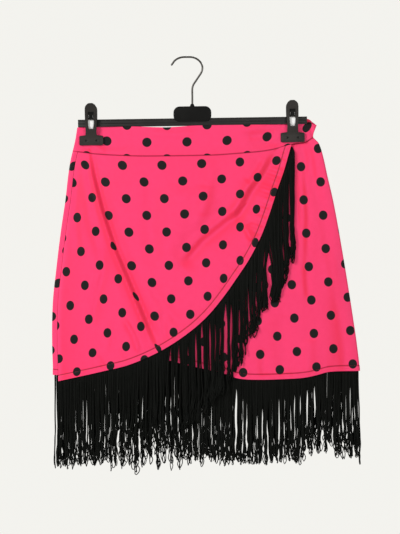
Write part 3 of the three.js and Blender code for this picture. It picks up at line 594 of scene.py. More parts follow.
# A turned hem: its width, how far it stands out, and the puckers along its stitches.
hemSizes = {
    "width": 8.5, "raise": 0.4, "foldSoft": 1.8, "pucker": 0.3, "puckerReach": 8.0, "puckerFrom": 4.0,
    "ripples": (0.62, 0.231, 1.07),
}
clothLook = {
    "pink": (0.97, 0.055, 0.190), "deepPink": (0.91, 0.034, 0.138), "dot": (0.0042, 0.0034, 0.0034),
    # stitched is the colour of painted shade along the hem stitches and at the waist seam.
    "stitched": (0.30, 0.004, 0.022), "roughness": 0.52, "dotRoughness": 0.6, "sheen": 0.03,
    # The fold keys give the painted shade that deepens the pink where the cloth stands steeply in a fold.
    "paintedFoldShadePink": (0.97, 0.016, 0.062), "paintedFoldShadeFullSlope": 0.32, "paintedFoldShadeStrength": 0.68,
    "stitchAndSeamShadeStrength": 0.85, "specular": 0.22, "sheenRoughness": 0.4, "thread": 0.75, "weaveHeight": 0.09,
    "grooveHeight": 0.42, "grooveSharp": 1.1, "dotEdge": 0.25, "wrongSideDotEdge": 0.9,
    "wrongSide": (0.60, 0.36, 0.41), "wrongSideDots": (0.30, 0.20, 0.23), "wrongSideFades": 0.82,
}


def clothMaterial(name, look, wrongSide=False):
    # Printed crepe, with painted shade that deepens the pink in its folds and darkens it along the hem
    # stitches and the waist seam. Its wrong side is pale, with the dots showing through weakly.
    material, tree, shader = newMaterial(name, look["wrongSide"] if wrongSide else look["pink"])
    link = tree.links.new
    uv = addNode(tree, "ShaderNodeUVMap", (-8, 0), {"uv_map": "print"})
    dots = addGroup(tree, dotPrint, (-5, 0), Column_pitch=printSizes["acrossPitch"],
                    Row_pitch=printSizes["rowPitch"], Dot_radius=printSizes["dotRadius"],
                    Edge_softness=look["wrongSideDotEdge"] if wrongSide else look["dotEdge"])
    link(uv.outputs["UV"], dots.inputs["Place"])
    inMillimetres = addNode(tree, "ShaderNodeVectorMath", (-7, 2), {"operation": "MULTIPLY"})
    inMillimetres.inputs[1].default_value = (printSizes["acrossPitch"], printSizes["rowPitch"], 1)
    link(uv.outputs["UV"], inMillimetres.inputs[0])
    weave = addGroup(tree, crepeWeave, (-5, 2), Thread=look["thread"])
    link(inMillimetres.outputs[0], weave.inputs["Place"])
    # Painted shade: the colour darkens along the hem's stitch line and at the waist seam, where the distance
    # read here equals the hem's width.
    hem = addNode(tree, "ShaderNodeAttribute", (-8, 5), {"attribute_name": "hemOrSeamDistance"})
    offLine = mathNode(tree, (-7, 5), "SUBTRACT", hem.outputs["Fac"], hemSizes["width"])
    square = mathNode(tree, (-6, 5), "MULTIPLY", offLine, offLine)
    fall = mathNode(tree, (-6, 6), "MULTIPLY", square, -look["grooveSharp"])
    groove = mathNode(tree, (-5, 5), "EXPONENT", fall)
    if wrongSide:
        faded = tuple(look["wrongSideFades"] * c for c in look["wrongSide"])
        base = blendColours(tree, (-3, 1), weave.outputs["Tone"], faded, look["wrongSide"])
        colour = blendColours(tree, (-2, 0), dots.outputs["Mask"], base, look["wrongSideDots"])
    else:
        flat = blendColours(tree, (-5, 1), weave.outputs["Tone"], look["deepPink"], look["pink"])
        # Painted shade: the pink turns deeper and darker where the cloth stands steeply in a fold.
        slope = addNode(tree, "ShaderNodeAttribute", (-8, 7), {"attribute_name": "foldSlope"})
        steep = addNode(tree, "ShaderNodeMapRange", (-7, 7), {"interpolation_type": "SMOOTHSTEP"},
                        From_Max=look["paintedFoldShadeFullSlope"], To_Max=look["paintedFoldShadeStrength"])
        link(slope.outputs["Fac"], steep.inputs["Value"])
        base = blendColours(tree, (-4, 1), steep.outputs["Result"], flat, look["paintedFoldShadePink"])
        grooveShadeAmount = mathNode(tree, (-4, 3), "MULTIPLY", groove, look["stitchAndSeamShadeStrength"])
        sewn = blendColours(tree, (-3, 1), grooveShadeAmount, base, look["stitched"])
        colour = blendColours(tree, (-2, 0), dots.outputs["Mask"], sewn, look["dot"])
    link(colour, shader.inputs["Base Color"])
    rough = addNode(tree, "ShaderNodeMapRange", (-2, 2),
                    To_Min=look["roughness"], To_Max=look["dotRoughness"])
    link(dots.outputs["Mask"], rough.inputs["Value"])
    link(rough.outputs["Result"], shader.inputs["Roughness"])
    shader.inputs["Sheen Weight"].default_value = look["sheen"]
    shader.inputs["Sheen Roughness"].default_value = look["sheenRoughness"]
    shader.inputs["Specular IOR Level"].default_value = look["specular"]
    threads = mathNode(tree, (-4, 4), "MULTIPLY", weave.outputs["Height"], look["weaveHeight"])
    height = mathNode(tree, (-3, 4), "MULTIPLY_ADD", groove, -look["grooveHeight"], threads)
    addBump(tree, shader, (-1, 4), height, 1.0)
    return material


dottedCloth = clothMaterial("dottedCloth", clothLook)
clothInside = clothMaterial("clothInside", clothLook, wrongSide=True)


fringeLook = {
    "yarn": (0.0022, 0.0027, 0.0019), "lit": (0.0075, 0.0083, 0.0068), "roughness": 0.55,
    "smoother": 0.1, "rougher": 0.15, "specular": 0.09, "twist": 950.0, "twistHeight": 0.2,
    "fineness": 2200.0, "patches": 120.0,
}


def yarnMaterial(name, look):
    # Twisted rayon yarn: fine slanting plies round each yarn, with painted sheen where the lit colour shows
    # along the plies.
    material, tree, shader = newMaterial(name, look["yarn"])
    link = tree.links.new
    place = addNode(tree, "ShaderNodeTexCoord", (-8, 0))
    plies = addNode(tree, "ShaderNodeTexWave", (-6, 0), {"bands_direction": "DIAGONAL"},
                    Scale=look["twist"] / 3.0, Distortion=2.0, Detail=1.0, Detail_Scale=2.0)
    grain = addGroup(tree, fineGrain, (-6, 3), Fineness=look["fineness"], Patches=look["patches"])
    for node, socket in ((plies, "Vector"), (grain, "Place")):
        link(place.outputs["Object"], node.inputs[socket])
    amount = mathNode(tree, (-4, 1), "MULTIPLY", plies.outputs["Fac"], grain.outputs["Patch"])
    link(blendColours(tree, (-2, 0), amount, look["yarn"], look["lit"]), shader.inputs["Base Color"])
    rough = addNode(tree, "ShaderNodeMapRange", (-2, 2),
                    To_Min=look["roughness"] - look["smoother"], To_Max=look["roughness"] + look["rougher"])
    link(grain.outputs["Patch"], rough.inputs["Value"])
    link(rough.outputs["Result"], shader.inputs["Roughness"])
    shader.inputs["Specular IOR Level"].default_value = look["specular"]
    addBump(tree, shader, (-1, 4), plies.outputs["Fac"], look["twistHeight"])
    return material


blackYarn = yarnMaterial("blackYarn", fringeLook)


def plainSurface(name, colour, worn, roughness, metallic=0.0, fineness=1400.0, patches=22.0,
                 stretch=(1, 1, 1), bumpHeight=0.05, specular=0.5):
    # Moulded plastic, thread or metal: a colour with worn patches and a fine grain.
    material, tree, shader = newMaterial(name, colour)
    link = tree.links.new
    place = addNode(tree, "ShaderNodeTexCoord", (-8, 0))
    mapping = addNode(tree, "ShaderNodeMapping", (-7, 0))
    mapping.inputs["Scale"].default_value = stretch
    link(place.outputs["Object"], mapping.inputs["Vector"])
    grain = addGroup(tree, fineGrain, (-5, 0), Fineness=fineness, Patches=patches)
    link(mapping.outputs["Vector"], grain.inputs["Place"])
    curve = addNode(tree, "ShaderNodeMapRange", (-4, 2), From_Min=0.42, From_Max=0.72)
    link(grain.outputs["Patch"], curve.inputs["Value"])
    link(blendColours(tree, (-2, 0), curve.outputs["Result"], colour, worn), shader.inputs["Base Color"])
    rough = addNode(tree, "ShaderNodeMapRange", (-2, 2),
                    To_Min=roughness * 0.85, To_Max=min(roughness * 1.25, 1.0))
    link(grain.outputs["Patch"], rough.inputs["Value"])
    link(rough.outputs["Result"], shader.inputs["Roughness"])
    shader.inputs["Metallic"].default_value = metallic
    shader.inputs["Specular IOR Level"].default_value = specular
    addBump(tree, shader, (-1, 4), grain.outputs["Height"], bumpHeight)
    return material


pinkThread = plainSurface("pinkThread", (0.40, 0.007, 0.034), (0.52, 0.014, 0.06), 0.6,
                          fineness=3000.0, specular=0.15)
barPlastic = plainSurface("barPlastic", (0.016, 0.0145, 0.014), (0.026, 0.024, 0.023), 0.48, specular=0.26)
# Darker plastic: the plate's and nub's own colour, and painted shade on the inside faces, dimples and recess
# of the clips' jaws.
plateAndClipShadePlastic = plainSurface("plateAndClipShadePlastic", (0.005, 0.0049, 0.0045), (0.009, 0.0087, 0.008), 0.5,
                            specular=0.12)
clipPlastic = plainSurface("clipPlastic", (0.018, 0.0155, 0.0135), (0.031, 0.027, 0.0235), 0.42, specular=0.3)
# Near-white base colour: partly the bright steel's own tone, partly a painted reflection of the bright studio
# on the polished spring.
springSteelPaintedReflection = plainSurface("springSteelPaintedReflection", (1.0, 1.0, 0.99), (0.96, 0.96, 0.95), 0.3, metallic=0.12,
                           fineness=900.0, stretch=(1, 1, 0.12), bumpHeight=0.02)
hookSteel = plainSurface("hookSteel", (0.115, 0.110, 0.100), (0.070, 0.067, 0.060), 0.4, metallic=0.9,
                         fineness=1600.0, stretch=(1, 1, 0.2), bumpHeight=0.03)
print("materials are made")


# Making meshes

def linkObject(name, mesh):
    obj = bpy.data.objects.new(name, mesh)
    scene.collection.objects.link(obj)
    return obj


def plainMesh(obj):
    # Turns what the modifiers make into the object's own mesh.
    bpy.context.view_layer.update()
    graph = bpy.context.evaluated_depsgraph_get()
    shown = obj.evaluated_get(graph)
    made = bpy.data.meshes.new_from_object(shown, preserve_all_data_layers=True, depsgraph=graph)
    obj.modifiers.clear()
    obj.data = made
    made.name = obj.name
    return obj


def smooth(obj):
    obj.data.polygons.foreach_set("use_smooth", [True] * len(obj.data.polygons))
    obj.data.update()


def toObject(name, work):
    made = bpy.data.meshes.new(name)
    work.to_mesh(made)
    work.free()
    return linkObject(name, made)


def thicken(obj, thick, insideSlot=0):
    # Thickens a wall inwards. The inner face takes the material so many slots further on.
    wall = obj.modifiers.new("wall", "SOLIDIFY")
    wall.thickness = thick * mm
    wall.offset = -1.0
    wall.material_offset = insideSlot
    wall.material_offset_rim = 0


def softened(obj, width, segments=2, angle=30):
    # Rounds the edges that turn by more than the angle.
    soft = obj.modifiers.new("soft edges", "BEVEL")
    soft.width = width * mm
    soft.segments = segments
    soft.limit_method = "ANGLE"
    soft.angle_limit = math.radians(angle)
    plainMesh(obj)
    smooth(obj)
    return obj


def gridMesh(name, points, outward):
    # A mesh from a grid of points, its faces turned outward.
    columns, rows = points.shape[:2]
    index = np.arange(columns * rows).reshape(columns, rows)
    faces = np.stack([index[:-1, :-1], index[:-1, 1:], index[1:, 1:], index[1:, :-1]], axis=-1).reshape(-1, 4)
    flatPoints = points.reshape(-1, 3) * mm
    a, b, c = (flatPoints[faces[:, n]] for n in (0, 1, 2))
    if np.sum(np.cross(b - a, c - a) @ np.array(outward)) < 0:
        faces = faces[:, ::-1]
    mesh = bpy.data.meshes.new(name)
    mesh.from_pydata(flatPoints.tolist(), [], faces.tolist())
    return mesh


def addValues(mesh, name, values):
    attribute = mesh.attributes.new(name, "FLOAT", "POINT")
    attribute.data.foreach_set("value", np.ravel(values))


# The shortest step that counts when a slope is read, and the room left at the sides.
slopeSizes = {"step": 0.3, "sideRoom": 8, "sideOver": 10}


def foldSlope(points):
    # How steeply the cloth stands away from the flat, left out where it rounds the sides. The cloth's
    # material paints shade in the folds by it.
    s = slopeSizes
    x, y, z = (points[..., n] for n in range(3))
    across, along = np.gradient(x, axis=0), np.gradient(z, axis=1)
    slopeX = np.gradient(y, axis=0) / np.where(np.abs(across) < s["step"], np.inf, across)
    slopeZ = np.gradient(y, axis=1) / np.where(np.abs(along) < s["step"], np.inf, along)
    fromSides = np.minimum(x - leftAt(z), rightAt(z) - x)
    return np.hypot(slopeX, slopeZ) * step01((fromSides - s["sideRoom"]) / s["sideOver"])


def sheetMesh(name, points, prints, hemOrSeamDistance, thick, soft, outward, doubled=False):
    # A cloth wall from a grid of outer points, thickened inwards with rounded edges.
    # A doubled one shows its right side on both faces.
    mesh = gridMesh(name, points, outward)
    uv = mesh.uv_layers.new(name="print")
    flatPrint = np.stack([np.ravel(prints[0]), np.ravel(prints[1])], axis=1)
    corners = np.empty(len(mesh.loops), int)
    mesh.loops.foreach_get("vertex_index", corners)
    uv.data.foreach_set("uv", flatPrint[corners].ravel())
    addValues(mesh, "hemOrSeamDistance", hemOrSeamDistance)
    addValues(mesh, "foldSlope", foldSlope(points))
    mesh.materials.append(dottedCloth)
    mesh.materials.append(clothInside)
    obj = linkObject(name, mesh)
    thicken(obj, thick, 0 if doubled else 1)
    return softened(obj, soft, 2, 55)


def hemRelief(gap, along, sizes, phase):
    # How far a turned and stitched hem stands out, with small puckers along its stitches.
    soft = sizes["foldSoft"]
    turned = sizes["raise"] * (1 - step01((gap - sizes["width"] + 0.5 * soft) / soft))
    quick, slow, fine = sizes["ripples"]
    ripple = np.sin(along * quick + phase) * np.sin(along * slow + 1.3 * phase)
    ripple = ripple + 0.5 * np.sin(along * fine + 2.1 * phase)
    pucker = sizes["pucker"] * ripple * np.exp(-np.abs(gap - sizes["width"]) / sizes["puckerReach"])
    return turned + pucker * step01(gap / sizes["puckerFrom"])


def meet(xAt, edgeAt, guess=-130.0, rounds=6):
    # Height at which a line down the cloth meets an edge.
    z = guess
    for _ in range(rounds):
        z = float(edgeAt(xAt(z)))
    return z


roundTurns = np.linspace(math.asin(cloth["sideGap"] / fold["band"]), math.pi / 2, 7)


def roundOff(radius, turn):
    return radius * (1 - math.cos(turn))


def noDepth(x, z):
    return np.zeros(np.shape(x))


# Waistband

bandSizes = {"columns": 220, "rows": 26, "soft": 0.7, "evenBelow": -115, "evenOver": 15}
# The soft crease where the waistband is squeezed past the right clip.
crumple = {
    "deep": 1.5, "from": 186, "fromOver": 5, "low": -131.0, "lowOver": 10, "top": -100, "place": 190.5,
    "lean": 0.3, "width": 2.2, "ridge": 0.7, "ridgeWidth": 2.0, "apart": 5.2,
}
seamHeights = {"left": -147, "right": -125}   # where the waist seam meets the sides
seamEnds = (float(leftAt(seamHeights["left"])), float(rightAt(seamHeights["right"])))
firstStation, lastStation = float(overSeamX(seamHeights["left"])), 194.0


def bandWall(side, topRows, sizes):
    stations = np.linspace(firstStation, lastStation, sizes["columns"])
    stops = [("left", t) for t in roundTurns] + [("x", x) for x in stations]
    stops += [("right", t) for t in roundTurns[::-1]]
    xs, zs = [], []
    for kind, value in stops:
        def xAt(z):
            if kind == "left":
                return leftAt(z) + roundOff(fold["band"], value)
            if kind == "right":
                return rightAt(z) - roundOff(fold["band"], value)
            share = (value - seamEnds[0]) / (seamEnds[1] - seamEnds[0])
            even = step01((sizes["evenBelow"] - z) / sizes["evenOver"])
            return mix(mix(leftAt(z), rightAt(z), share), value, even)
        top = meet(xAt, lambda x: readTable(topRows, x))
        low = meet(xAt, seamAt)
        z = mix(top, low, np.linspace(0, 1, sizes["rows"]))
        xs.append(xAt(z))
        zs.append(z)
    x, z = np.array(xs), np.array(zs)
    points, clothX = wallPoint(side, x, z, 0.0)
    if side > 0:
        lift = raisedCorner["slope"] * np.maximum(z - raisedCorner["from"], 0)
        points[..., 1] += lift * step01((x - raisedCorner["start"]) / raisedCorner["over"])
    c = crumple
    creased = c["deep"] * step01((x - c["from"]) / c["fromOver"]) * step01((z - c["low"]) / c["lowOver"])
    away = x - c["place"] - c["lean"] * (c["top"] - z)
    ridge = c["ridge"] * np.exp(-((away - c["apart"]) / c["ridgeWidth"]) ** 2)
    points[..., 1] += creased * (ridge - np.exp(-(away / c["width"]) ** 2)) * side
    # The last value puts painted seam shade at the band's lower edge.
    return points, bandPrint(clothX, z), hemSizes["width"] + z - z[:, -1:]


bandNames = {-1: ("frontWaistband", "waistband_front"), 1: ("backWaistband", "waistband_back")}
bands = {}
for side, topRows in ((-1, bandTopFront), (1, bandTopBack)):
    points, prints, shade = bandWall(side, topRows, bandSizes)
    name, node = bandNames[side]
    band = sheetMesh(name, points, prints, shade, cloth["band"], bandSizes["soft"],
                     (0, side, 0), doubled=True)
    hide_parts(node)
    bands[side] = band
print("waistband is sewn")


# Front panels

panelSizes = {
    "columns": 190, "rows": 140, "edgeCrowding": 1.35, "soft": 0.3, "evenBelow": -156, "evenOver": 60,
    "foldStations": (7.4, 6.2, 5.0, 4.0),   # where the back panel's front strip has its columns
    "foldTurn": 0.57,                       # how much longer the side's fold is than its radius
}
hemPhases = {"over": 0.4, "under": 1.9, "back": 0.9}   # so that no two hems pucker alike


def wrapPanel(sizes, sideX, first, edge, skew, deepAt, rounded, phase):
    # Columns from the seam down to the wrap edge. A rounded panel starts behind the side's fold.
    v = 1 - (1 - np.linspace(0, 1, sizes["rows"])) ** sizes["edgeCrowding"]
    xs, zs = [], []
    if rounded:
        low = edge[0][1]
        for turn in roundTurns[:-1]:
            def xAt(z):
                return rightAt(z) - roundOff(sideRadius(rightAt(z), z), turn)
            top = meet(xAt, seamAt) - cloth["seamGap"]
            z = mix(top, low, v)
            xs.append(xAt(z))
            zs.append(z)
    for s in np.linspace(0, 1, sizes["columns"]):
        low = alongCurve(edge, s ** skew)
        station = mix(first, edge[-1][0], s)
        z = mix(float(seamAt(station)) - cloth["seamGap"], low[1], v)
        straight = mix(first, edge[0][0], v)
        atSeam = (sideX(z[0]) - first) * (1 - v) ** 8
        xs.append(mix(station, low[0], v) + (1 - s) ** 4 * (sideX(z) - straight - atSeam))
        zs.append(z)
    x, z = np.array(xs), np.array(zs)
    gap, along = nearestOnEdge(edge, x, z)
    relief = hemRelief(gap, along, hemSizes, phase)
    points, clothX = wallPoint(-1, x, z, deepAt(x, z) - relief)
    # Near the hem, the distance from it; elsewhere a value that puts painted seam shade at the panel's top.
    shade = np.where(gap < 2 * hemSizes["width"], gap, hemSizes["width"] + z[:, :1] - z)
    return points, clothX, z, shade


points, clothX, z, shade = wrapPanel(panelSizes, overSeamX, firstStation, overEdge, 0.92, noDepth,
                                     False, hemPhases["over"])
overPanel = sheetMesh("overPanelCloth", points, overPrint(clothX, z), shade, cloth["panel"],
                      panelSizes["soft"], (0, -1, 0))
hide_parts("over_panel")


def underSideX(z):
    return rightAt(z) - sideRadius(rightAt(z), z)


underStart = float(underSideX(meet(underSideX, seamAt)))
points, clothX, z, shade = wrapPanel(panelSizes, underSideX, underStart, underEdge, 1.0, underDepth,
                                     True, hemPhases["under"])
underPanel = sheetMesh("underPanelCloth", points, underPrint(clothX, z), shade, cloth["panel"],
                       panelSizes["soft"], (0, -1, 0))
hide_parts("under_panel")
print("front panels are cut")


# Back panel, from the left seam on the front round to the right side

def backWall(sizes):
    stations = np.linspace(firstStation, lastStation, sizes["columns"])
    stops = [(-1, "from", cloth["sideSeam"] - cloth["sideGap"])]
    stops += [(-1, "from", d) for d in sizes["foldStations"]]
    stops += [(-1, "left", t) for t in roundTurns[:0:-1]] + [(1, "from", 0.0)]
    stops += [(1, "left", t) for t in roundTurns[1:]] + [(1, "x", x) for x in stations]
    stops += [(1, "right", t) for t in roundTurns[::-1]]
    v = 1 - (1 - np.linspace(0, 1, sizes["rows"])) ** sizes["edgeCrowding"]
    parts = {-1: ([], []), 1: ([], [])}
    for side, kind, value in stops:
        def xAt(z):
            if kind == "from":
                return leftAt(z) + value
            if kind == "left":
                return leftAt(z) + roundOff(sideRadius(leftAt(z), z), value)
            if kind == "right":
                return rightAt(z) - roundOff(sideRadius(rightAt(z), z), value)
            share = (value - seamEnds[0]) / (seamEnds[1] - seamEnds[0])
            even = step01((sizes["evenBelow"] - z) / sizes["evenOver"])
            return mix(value, mix(leftAt(z), rightAt(z), share), even)
        top = meet(xAt, seamAt) - cloth["seamGap"]
        z = mix(top, float(readTable(backHem, xAt(hemDepthHeight))), v)
        parts[side][0].append(xAt(z))
        parts[side][1].append(z)
    hemLine = np.array([(x, readTable(backHem, x)) for x in np.linspace(-214, 275, 400)], float)
    walls, prints, gaps = [], [], []
    for side in (-1, 1):
        x, z = (np.array(part) for part in parts[side])
        gap, along = nearestOnEdge(hemLine, x, z)
        wall, clothX = wallPoint(side, x, z, -hemRelief(gap, along, hemSizes, hemPhases["back"]))
        if side < 0:                      # the print runs on round the side's fold
            clothX = 2 * (leftAt(z) - sizes["foldTurn"] * sideRadius(leftAt(z), z)) - clothX
        walls.append(wall)
        prints.append(backPrint(clothX, z))
        gaps.append(gap)
    bothPrints = [np.concatenate([p[n] for p in prints]) for n in (0, 1)]
    return np.concatenate(walls), bothPrints, np.concatenate(gaps)


points, prints, gap = backWall(panelSizes)
backPanel = sheetMesh("backPanelCloth", points, prints, gap, cloth["panel"], panelSizes["soft"], (0, 1, 0))
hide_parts("back_panel")
print("back panel is cut")


# Topstitching along the hems

stitchSizes = {
    "pitch": 3.1, "length": 2.2, "thickness": 0.45, "off": -0.12,
    "belowSeam": 2, "fromLeft": 0.5, "fromRight": 1.5, "fromSideSeam": 1,
}


def makeStitchTree():
    tree, given, made = newGroup("stitchLine", [
        ("Line", "NodeSocketGeometry", None),
        ("Pitch", "NodeSocketFloat", 0.003),
        ("Stitch length", "NodeSocketFloat", 0.0023),
        ("Thickness", "NodeSocketFloat", 0.0004),
        ("Thread", "NodeSocketMaterial", None),
    ], [("Stitches", "NodeSocketGeometry")], "GeometryNodeTree")
    link = tree.links.new
    toCurve = addNode(tree, "GeometryNodeMeshToCurve", (0, 0))
    resample = addNode(tree, "GeometryNodeResampleCurve", (1, 0), {"mode": "LENGTH"})
    bead = addNode(tree, "GeometryNodeMeshUVSphere", (0, 2), Segments=6, Rings=5, Radius=0.5)
    size = addNode(tree, "ShaderNodeCombineXYZ", (0, 4))
    shaped = addNode(tree, "GeometryNodeTransform", (1, 2))
    place = addNode(tree, "GeometryNodeInstanceOnPoints", (3, 0))
    tangent = addNode(tree, "GeometryNodeInputTangent", (1, 5))
    turn = addNode(tree, "FunctionNodeAlignRotationToVector", (2, 4), {"axis": "X"})
    real = addNode(tree, "GeometryNodeRealizeInstances", (4, 0))
    shade = addNode(tree, "GeometryNodeSetShadeSmooth", (5, 0))
    paint = addNode(tree, "GeometryNodeSetMaterial", (6, 0))
    link(given["Line"], toCurve.inputs["Mesh"])
    link(toCurve.outputs["Curve"], resample.inputs["Curve"])
    link(given["Pitch"], resample.inputs["Length"])
    link(given["Stitch length"], size.inputs["X"])
    link(given["Thickness"], size.inputs["Y"])
    link(given["Thickness"], size.inputs["Z"])
    link(bead.outputs["Mesh"], shaped.inputs["Geometry"])
    link(size.outputs[0], shaped.inputs["Scale"])
    link(resample.outputs["Curve"], place.inputs["Points"])
    link(shaped.outputs["Geometry"], place.inputs["Instance"])
    link(tangent.outputs[0], turn.inputs["Vector"])
    link(turn.outputs[0], place.inputs["Rotation"])
    link(place.outputs["Instances"], real.inputs["Geometry"])
    link(real.outputs["Geometry"], shade.inputs["Geometry"])
    link(shade.outputs["Geometry"], paint.inputs["Geometry"])
    link(given["Thread"], paint.inputs["Material"])
    link(paint.outputs["Geometry"], made["Stitches"])
    return tree


def runTree(obj, tree, values):
    modifier = obj.modifiers.new(tree.name, "NODES")
    modifier.node_group = tree
    for item in tree.interface.items_tree:
        if item.item_type == "SOCKET" and item.in_out == "INPUT" and item.name in values:
            modifier[item.identifier] = values[item.name]
    return plainMesh(obj)


def polylines(name, paths, attribute=None):
    # A mesh of open lines from an array of paths, each with the same number of points.
    paths = np.asarray(paths, float)
    count, size = paths.shape[:2]
    index = np.arange(count * size).reshape(count, size)
    edges = np.stack([index[:, :-1], index[:, 1:]], axis=-1).reshape(-1, 2)
    mesh = bpy.data.meshes.new(name)
    mesh.from_pydata((paths.reshape(-1, 3) * mm).tolist(), edges.tolist(), [])
    if attribute is not None:
        addValues(mesh, *attribute)
    return linkObject(name, mesh)


stitchTree = makeStitchTree()


def inwardOf(edge, inward):
    # Unit directions square to an edge.
    tangent = np.gradient(edge, axis=0)
    tangent /= np.linalg.norm(tangent, axis=1)[:, None]
    return inward * np.stack([-tangent[:, 1], tangent[:, 0]], axis=1)


def stitchAlong(name, side, edge, inward, deepAt, phase):
    # Stitches on the hem's line, set in from the edge.
    s = stitchSizes
    line = edge + hemSizes["width"] * inwardOf(edge, inward)
    x, z = line[:, 0], line[:, 1]
    inside = (z < seamAt(x) - s["belowSeam"]) & (x > leftAt(z) + s["fromLeft"])
    inside &= x < rightAt(z) - s["fromRight"]
    if edge is overEdge:
        inside &= x > overSeamX(z) + s["fromSideSeam"]
    x, z = x[inside], z[inside]
    gap, along = nearestOnEdge(edge, x, z)
    relief = hemRelief(gap, along, hemSizes, phase)
    points, _ = wallPoint(side, x, z, deepAt(x, z) - relief - s["off"])
    return runTree(polylines(name, [points]), stitchTree, {
        "Pitch": s["pitch"] * mm, "Stitch length": s["length"] * mm,
        "Thickness": s["thickness"] * mm, "Thread": pinkThread,
    })


backEdge = np.array([(x, readTable(backHem, x)) for x in np.linspace(-209.5, 270.5, 700)], float)
overStitches = stitchAlong("overHemStitches", -1, overEdge, 1, noDepth, hemPhases["over"])
underStitches = stitchAlong("underHemStitches", -1, underEdge, -1, underDepth, hemPhases["under"])
backStitches = stitchAlong("backHemStitches", 1, backEdge, 1, noDepth, hemPhases["back"])
print("hems are stitched")


# Fringe: looped yarns that hang from a heading sewn behind each edge

# Lengths are in millimetres. A share counts loops, and a range multiplies the size beside it.
fringeSizes = {
    "yarn": 1.5, "sides": 4, "points": 22, "endCrowding": 1.25, "headingLow": 1.5, "headingHigh": 9.0,
    "headingThick": 0.8, "sway": 1.5, "waves": 0.045, "splay": 3.0, "waviness": 2.8, "waveSize": 40.0,
    "lockPitch": 6.8, "curl": 1.3, "curlLength": 34.0, "curlFrom": 0.5, "turn": 1.2, "lockEnds": 4.5,
    "rootAbove": 3.2, "unevenEnds": 2.6, "raisedShare": 0.12, "raisedBy": 12.0, "loweredShare": 0.05,
    "loweredBy": 4.0, "shortBy": (6, 40), "looseBelow": 120.0, "stray": 0.9, "rootShake": 0.6,
    "legShake": 0.8, "steepest": 4.0, "belowSeam": 3.0, "sideRoom": 0.8, "splayFrom": 0.9,
    "splayOver": 0.1, "splayRange": (0.2, 1.7), "curlRange": (0.2, 1.6), "curlLengths": (0.75, 1.4),
    "curlDepth": 0.6, "settlesOver": 10.0, "driftFrom": 150, "driftOver": 12.0, "driftAbove": 6,
    "driftDown": 14.0, "headingColumns": 4, "headingRows": 5, "headingSides": 3.5, "headingBelow": 1.0,
}
partingSizes = {"reach": 6.0, "opensOver": 45.0}
lockSizes = {"narrowest": 0.55, "widest": 1.5, "count": 140, "firstX": -260.0}
# How tightly the yarns gather into locks, by the place across.
clumpRows = [
    (-210, 0.4), (-126, 0.42), (-112, 0.85), (-20, 0.85), (-6, 0.42), (90, 0.42), (112, 0.72), (272, 0.72),
]
# Share of the yarns that end early, by the place across.
shortRows = [
    (-128, 0.0), (-112, 0.5), (-24, 0.5), (-8, 0.1), (160, 0.05), (185, 0.3), (255, 0.3), (272, 0.1),
]
overEnds = [
    (-204, -640), (-190, -635), (-150, -628), (-110, -636), (-80, -629), (-44, -606), (6, -570),
    (33, -546), (57, -517), (81, -485), (96, -452), (105, -433), (117, -400), (126, -392),
    (130, -380), (143, -368), (148.7, -355), (152.6, -336), (155, -318), (159, -304), (163, -290),
]
underEnds = [
    (-110, -580), (-60, -604), (0, -622), (35, -627), (80, -633), (100, -633), (140, -632), (175, -629),
    (190, -615), (210, -609), (228, -608), (240, -620), (274, -622),
]
backEnds = [
    (-210, -641), (-190, -634), (-120, -632), (-85, -643), (-34, -641), (18, -629), (60, -633),
    (100, -632), (140, -632), (175, -628), (190, -617), (222, -613), (240, -622), (274, -622),
]
# Partings: place across, opening, and the height below which the yarns stand apart.
freePartings = [
    (-193.0, 2.0, -545), (-183.0, 1.2, -560), (-171.0, 2.0, -560), (-156.0, 1.4, -580), (-140.0, 2.0, -585),
    (-124.0, 3.4, -588), (-116.0, 7.5, -574), (-107.0, 6.0, -578), (-98.0, 9.0, -568), (-90.0, 6.0, -572),
    (-82.0, 9.0, -564), (-74.0, 10.5, -562), (-64.0, 8.0, -570), (-52.0, 8.0, -568), (-40.0, 6.0, -562),
    (-30.0, 5.0, -576), (-20.0, 3.0, -588), (-4.0, 1.6, -600), (20.0, 1.4, -600), (46.0, 2.0, -570),
    (64.0, 1.8, -585), (78.0, 4.2, -506), (88.0, 2.6, -520), (104.0, 2.0, -570), (122.0, 2.0, -570),
    (147.0, 2.4, -545), (168.0, 3.4, -508), (178.0, 2.0, -575), (188.0, 4.4, -500), (200.0, 3.4, -500),
    (212.0, 3.6, -560), (220.0, 3.0, -580), (228.0, 3.4, -560), (243.0, 3.4, -506), (256.0, 3.2, -500),
    (264.0, 2.4, -506),
]
backPartings = [row for row in freePartings if -130 < row[0] < -15 or row[0] > 120 or row[0] == 78.0]
overPartings = [
    (127.5, 12.0, -290), (119.0, 5.0, -318), (133.0, 2.6, -310), (61.0, 7.0, -372), (69.0, 4.0, -372),
    (52.0, 3.0, -400), (23.5, 5.0, -400), (14.0, 4.0, -420), (2.0, 3.0, -432), (-12.0, 5.0, -436),
    (-26.0, 4.0, -440), (36.0, 3.5, -396), (44.0, 3.0, -392), (94.0, 2.0, -352),
]


def partYarns(partings, x, z):
    # Moves yarns aside from each parting, more as they go down.
    moved = np.zeros(np.shape(x))
    for place, opening, top in partings:
        away = x - place
        hand = np.where(away < 0, -1.0, 1.0)
        fades = np.exp(-np.abs(away) / partingSizes["reach"])
        moved = moved + hand * 0.5 * opening * fades * step01((top - z) / partingSizes["opensOver"])
    return moved


def nearestLock(x, pitch, seed):
    # Distance to the middle of the lock that a yarn gathers in, and that lock's number.
    rng = np.random.default_rng(seed)
    widths = pitch * rng.uniform(lockSizes["narrowest"], lockSizes["widest"], lockSizes["count"])
    places = np.cumsum(widths) + lockSizes["firstX"]
    nearest = np.abs(x[..., None] - places).argmin(axis=-1)
    return places[nearest] - x, nearest


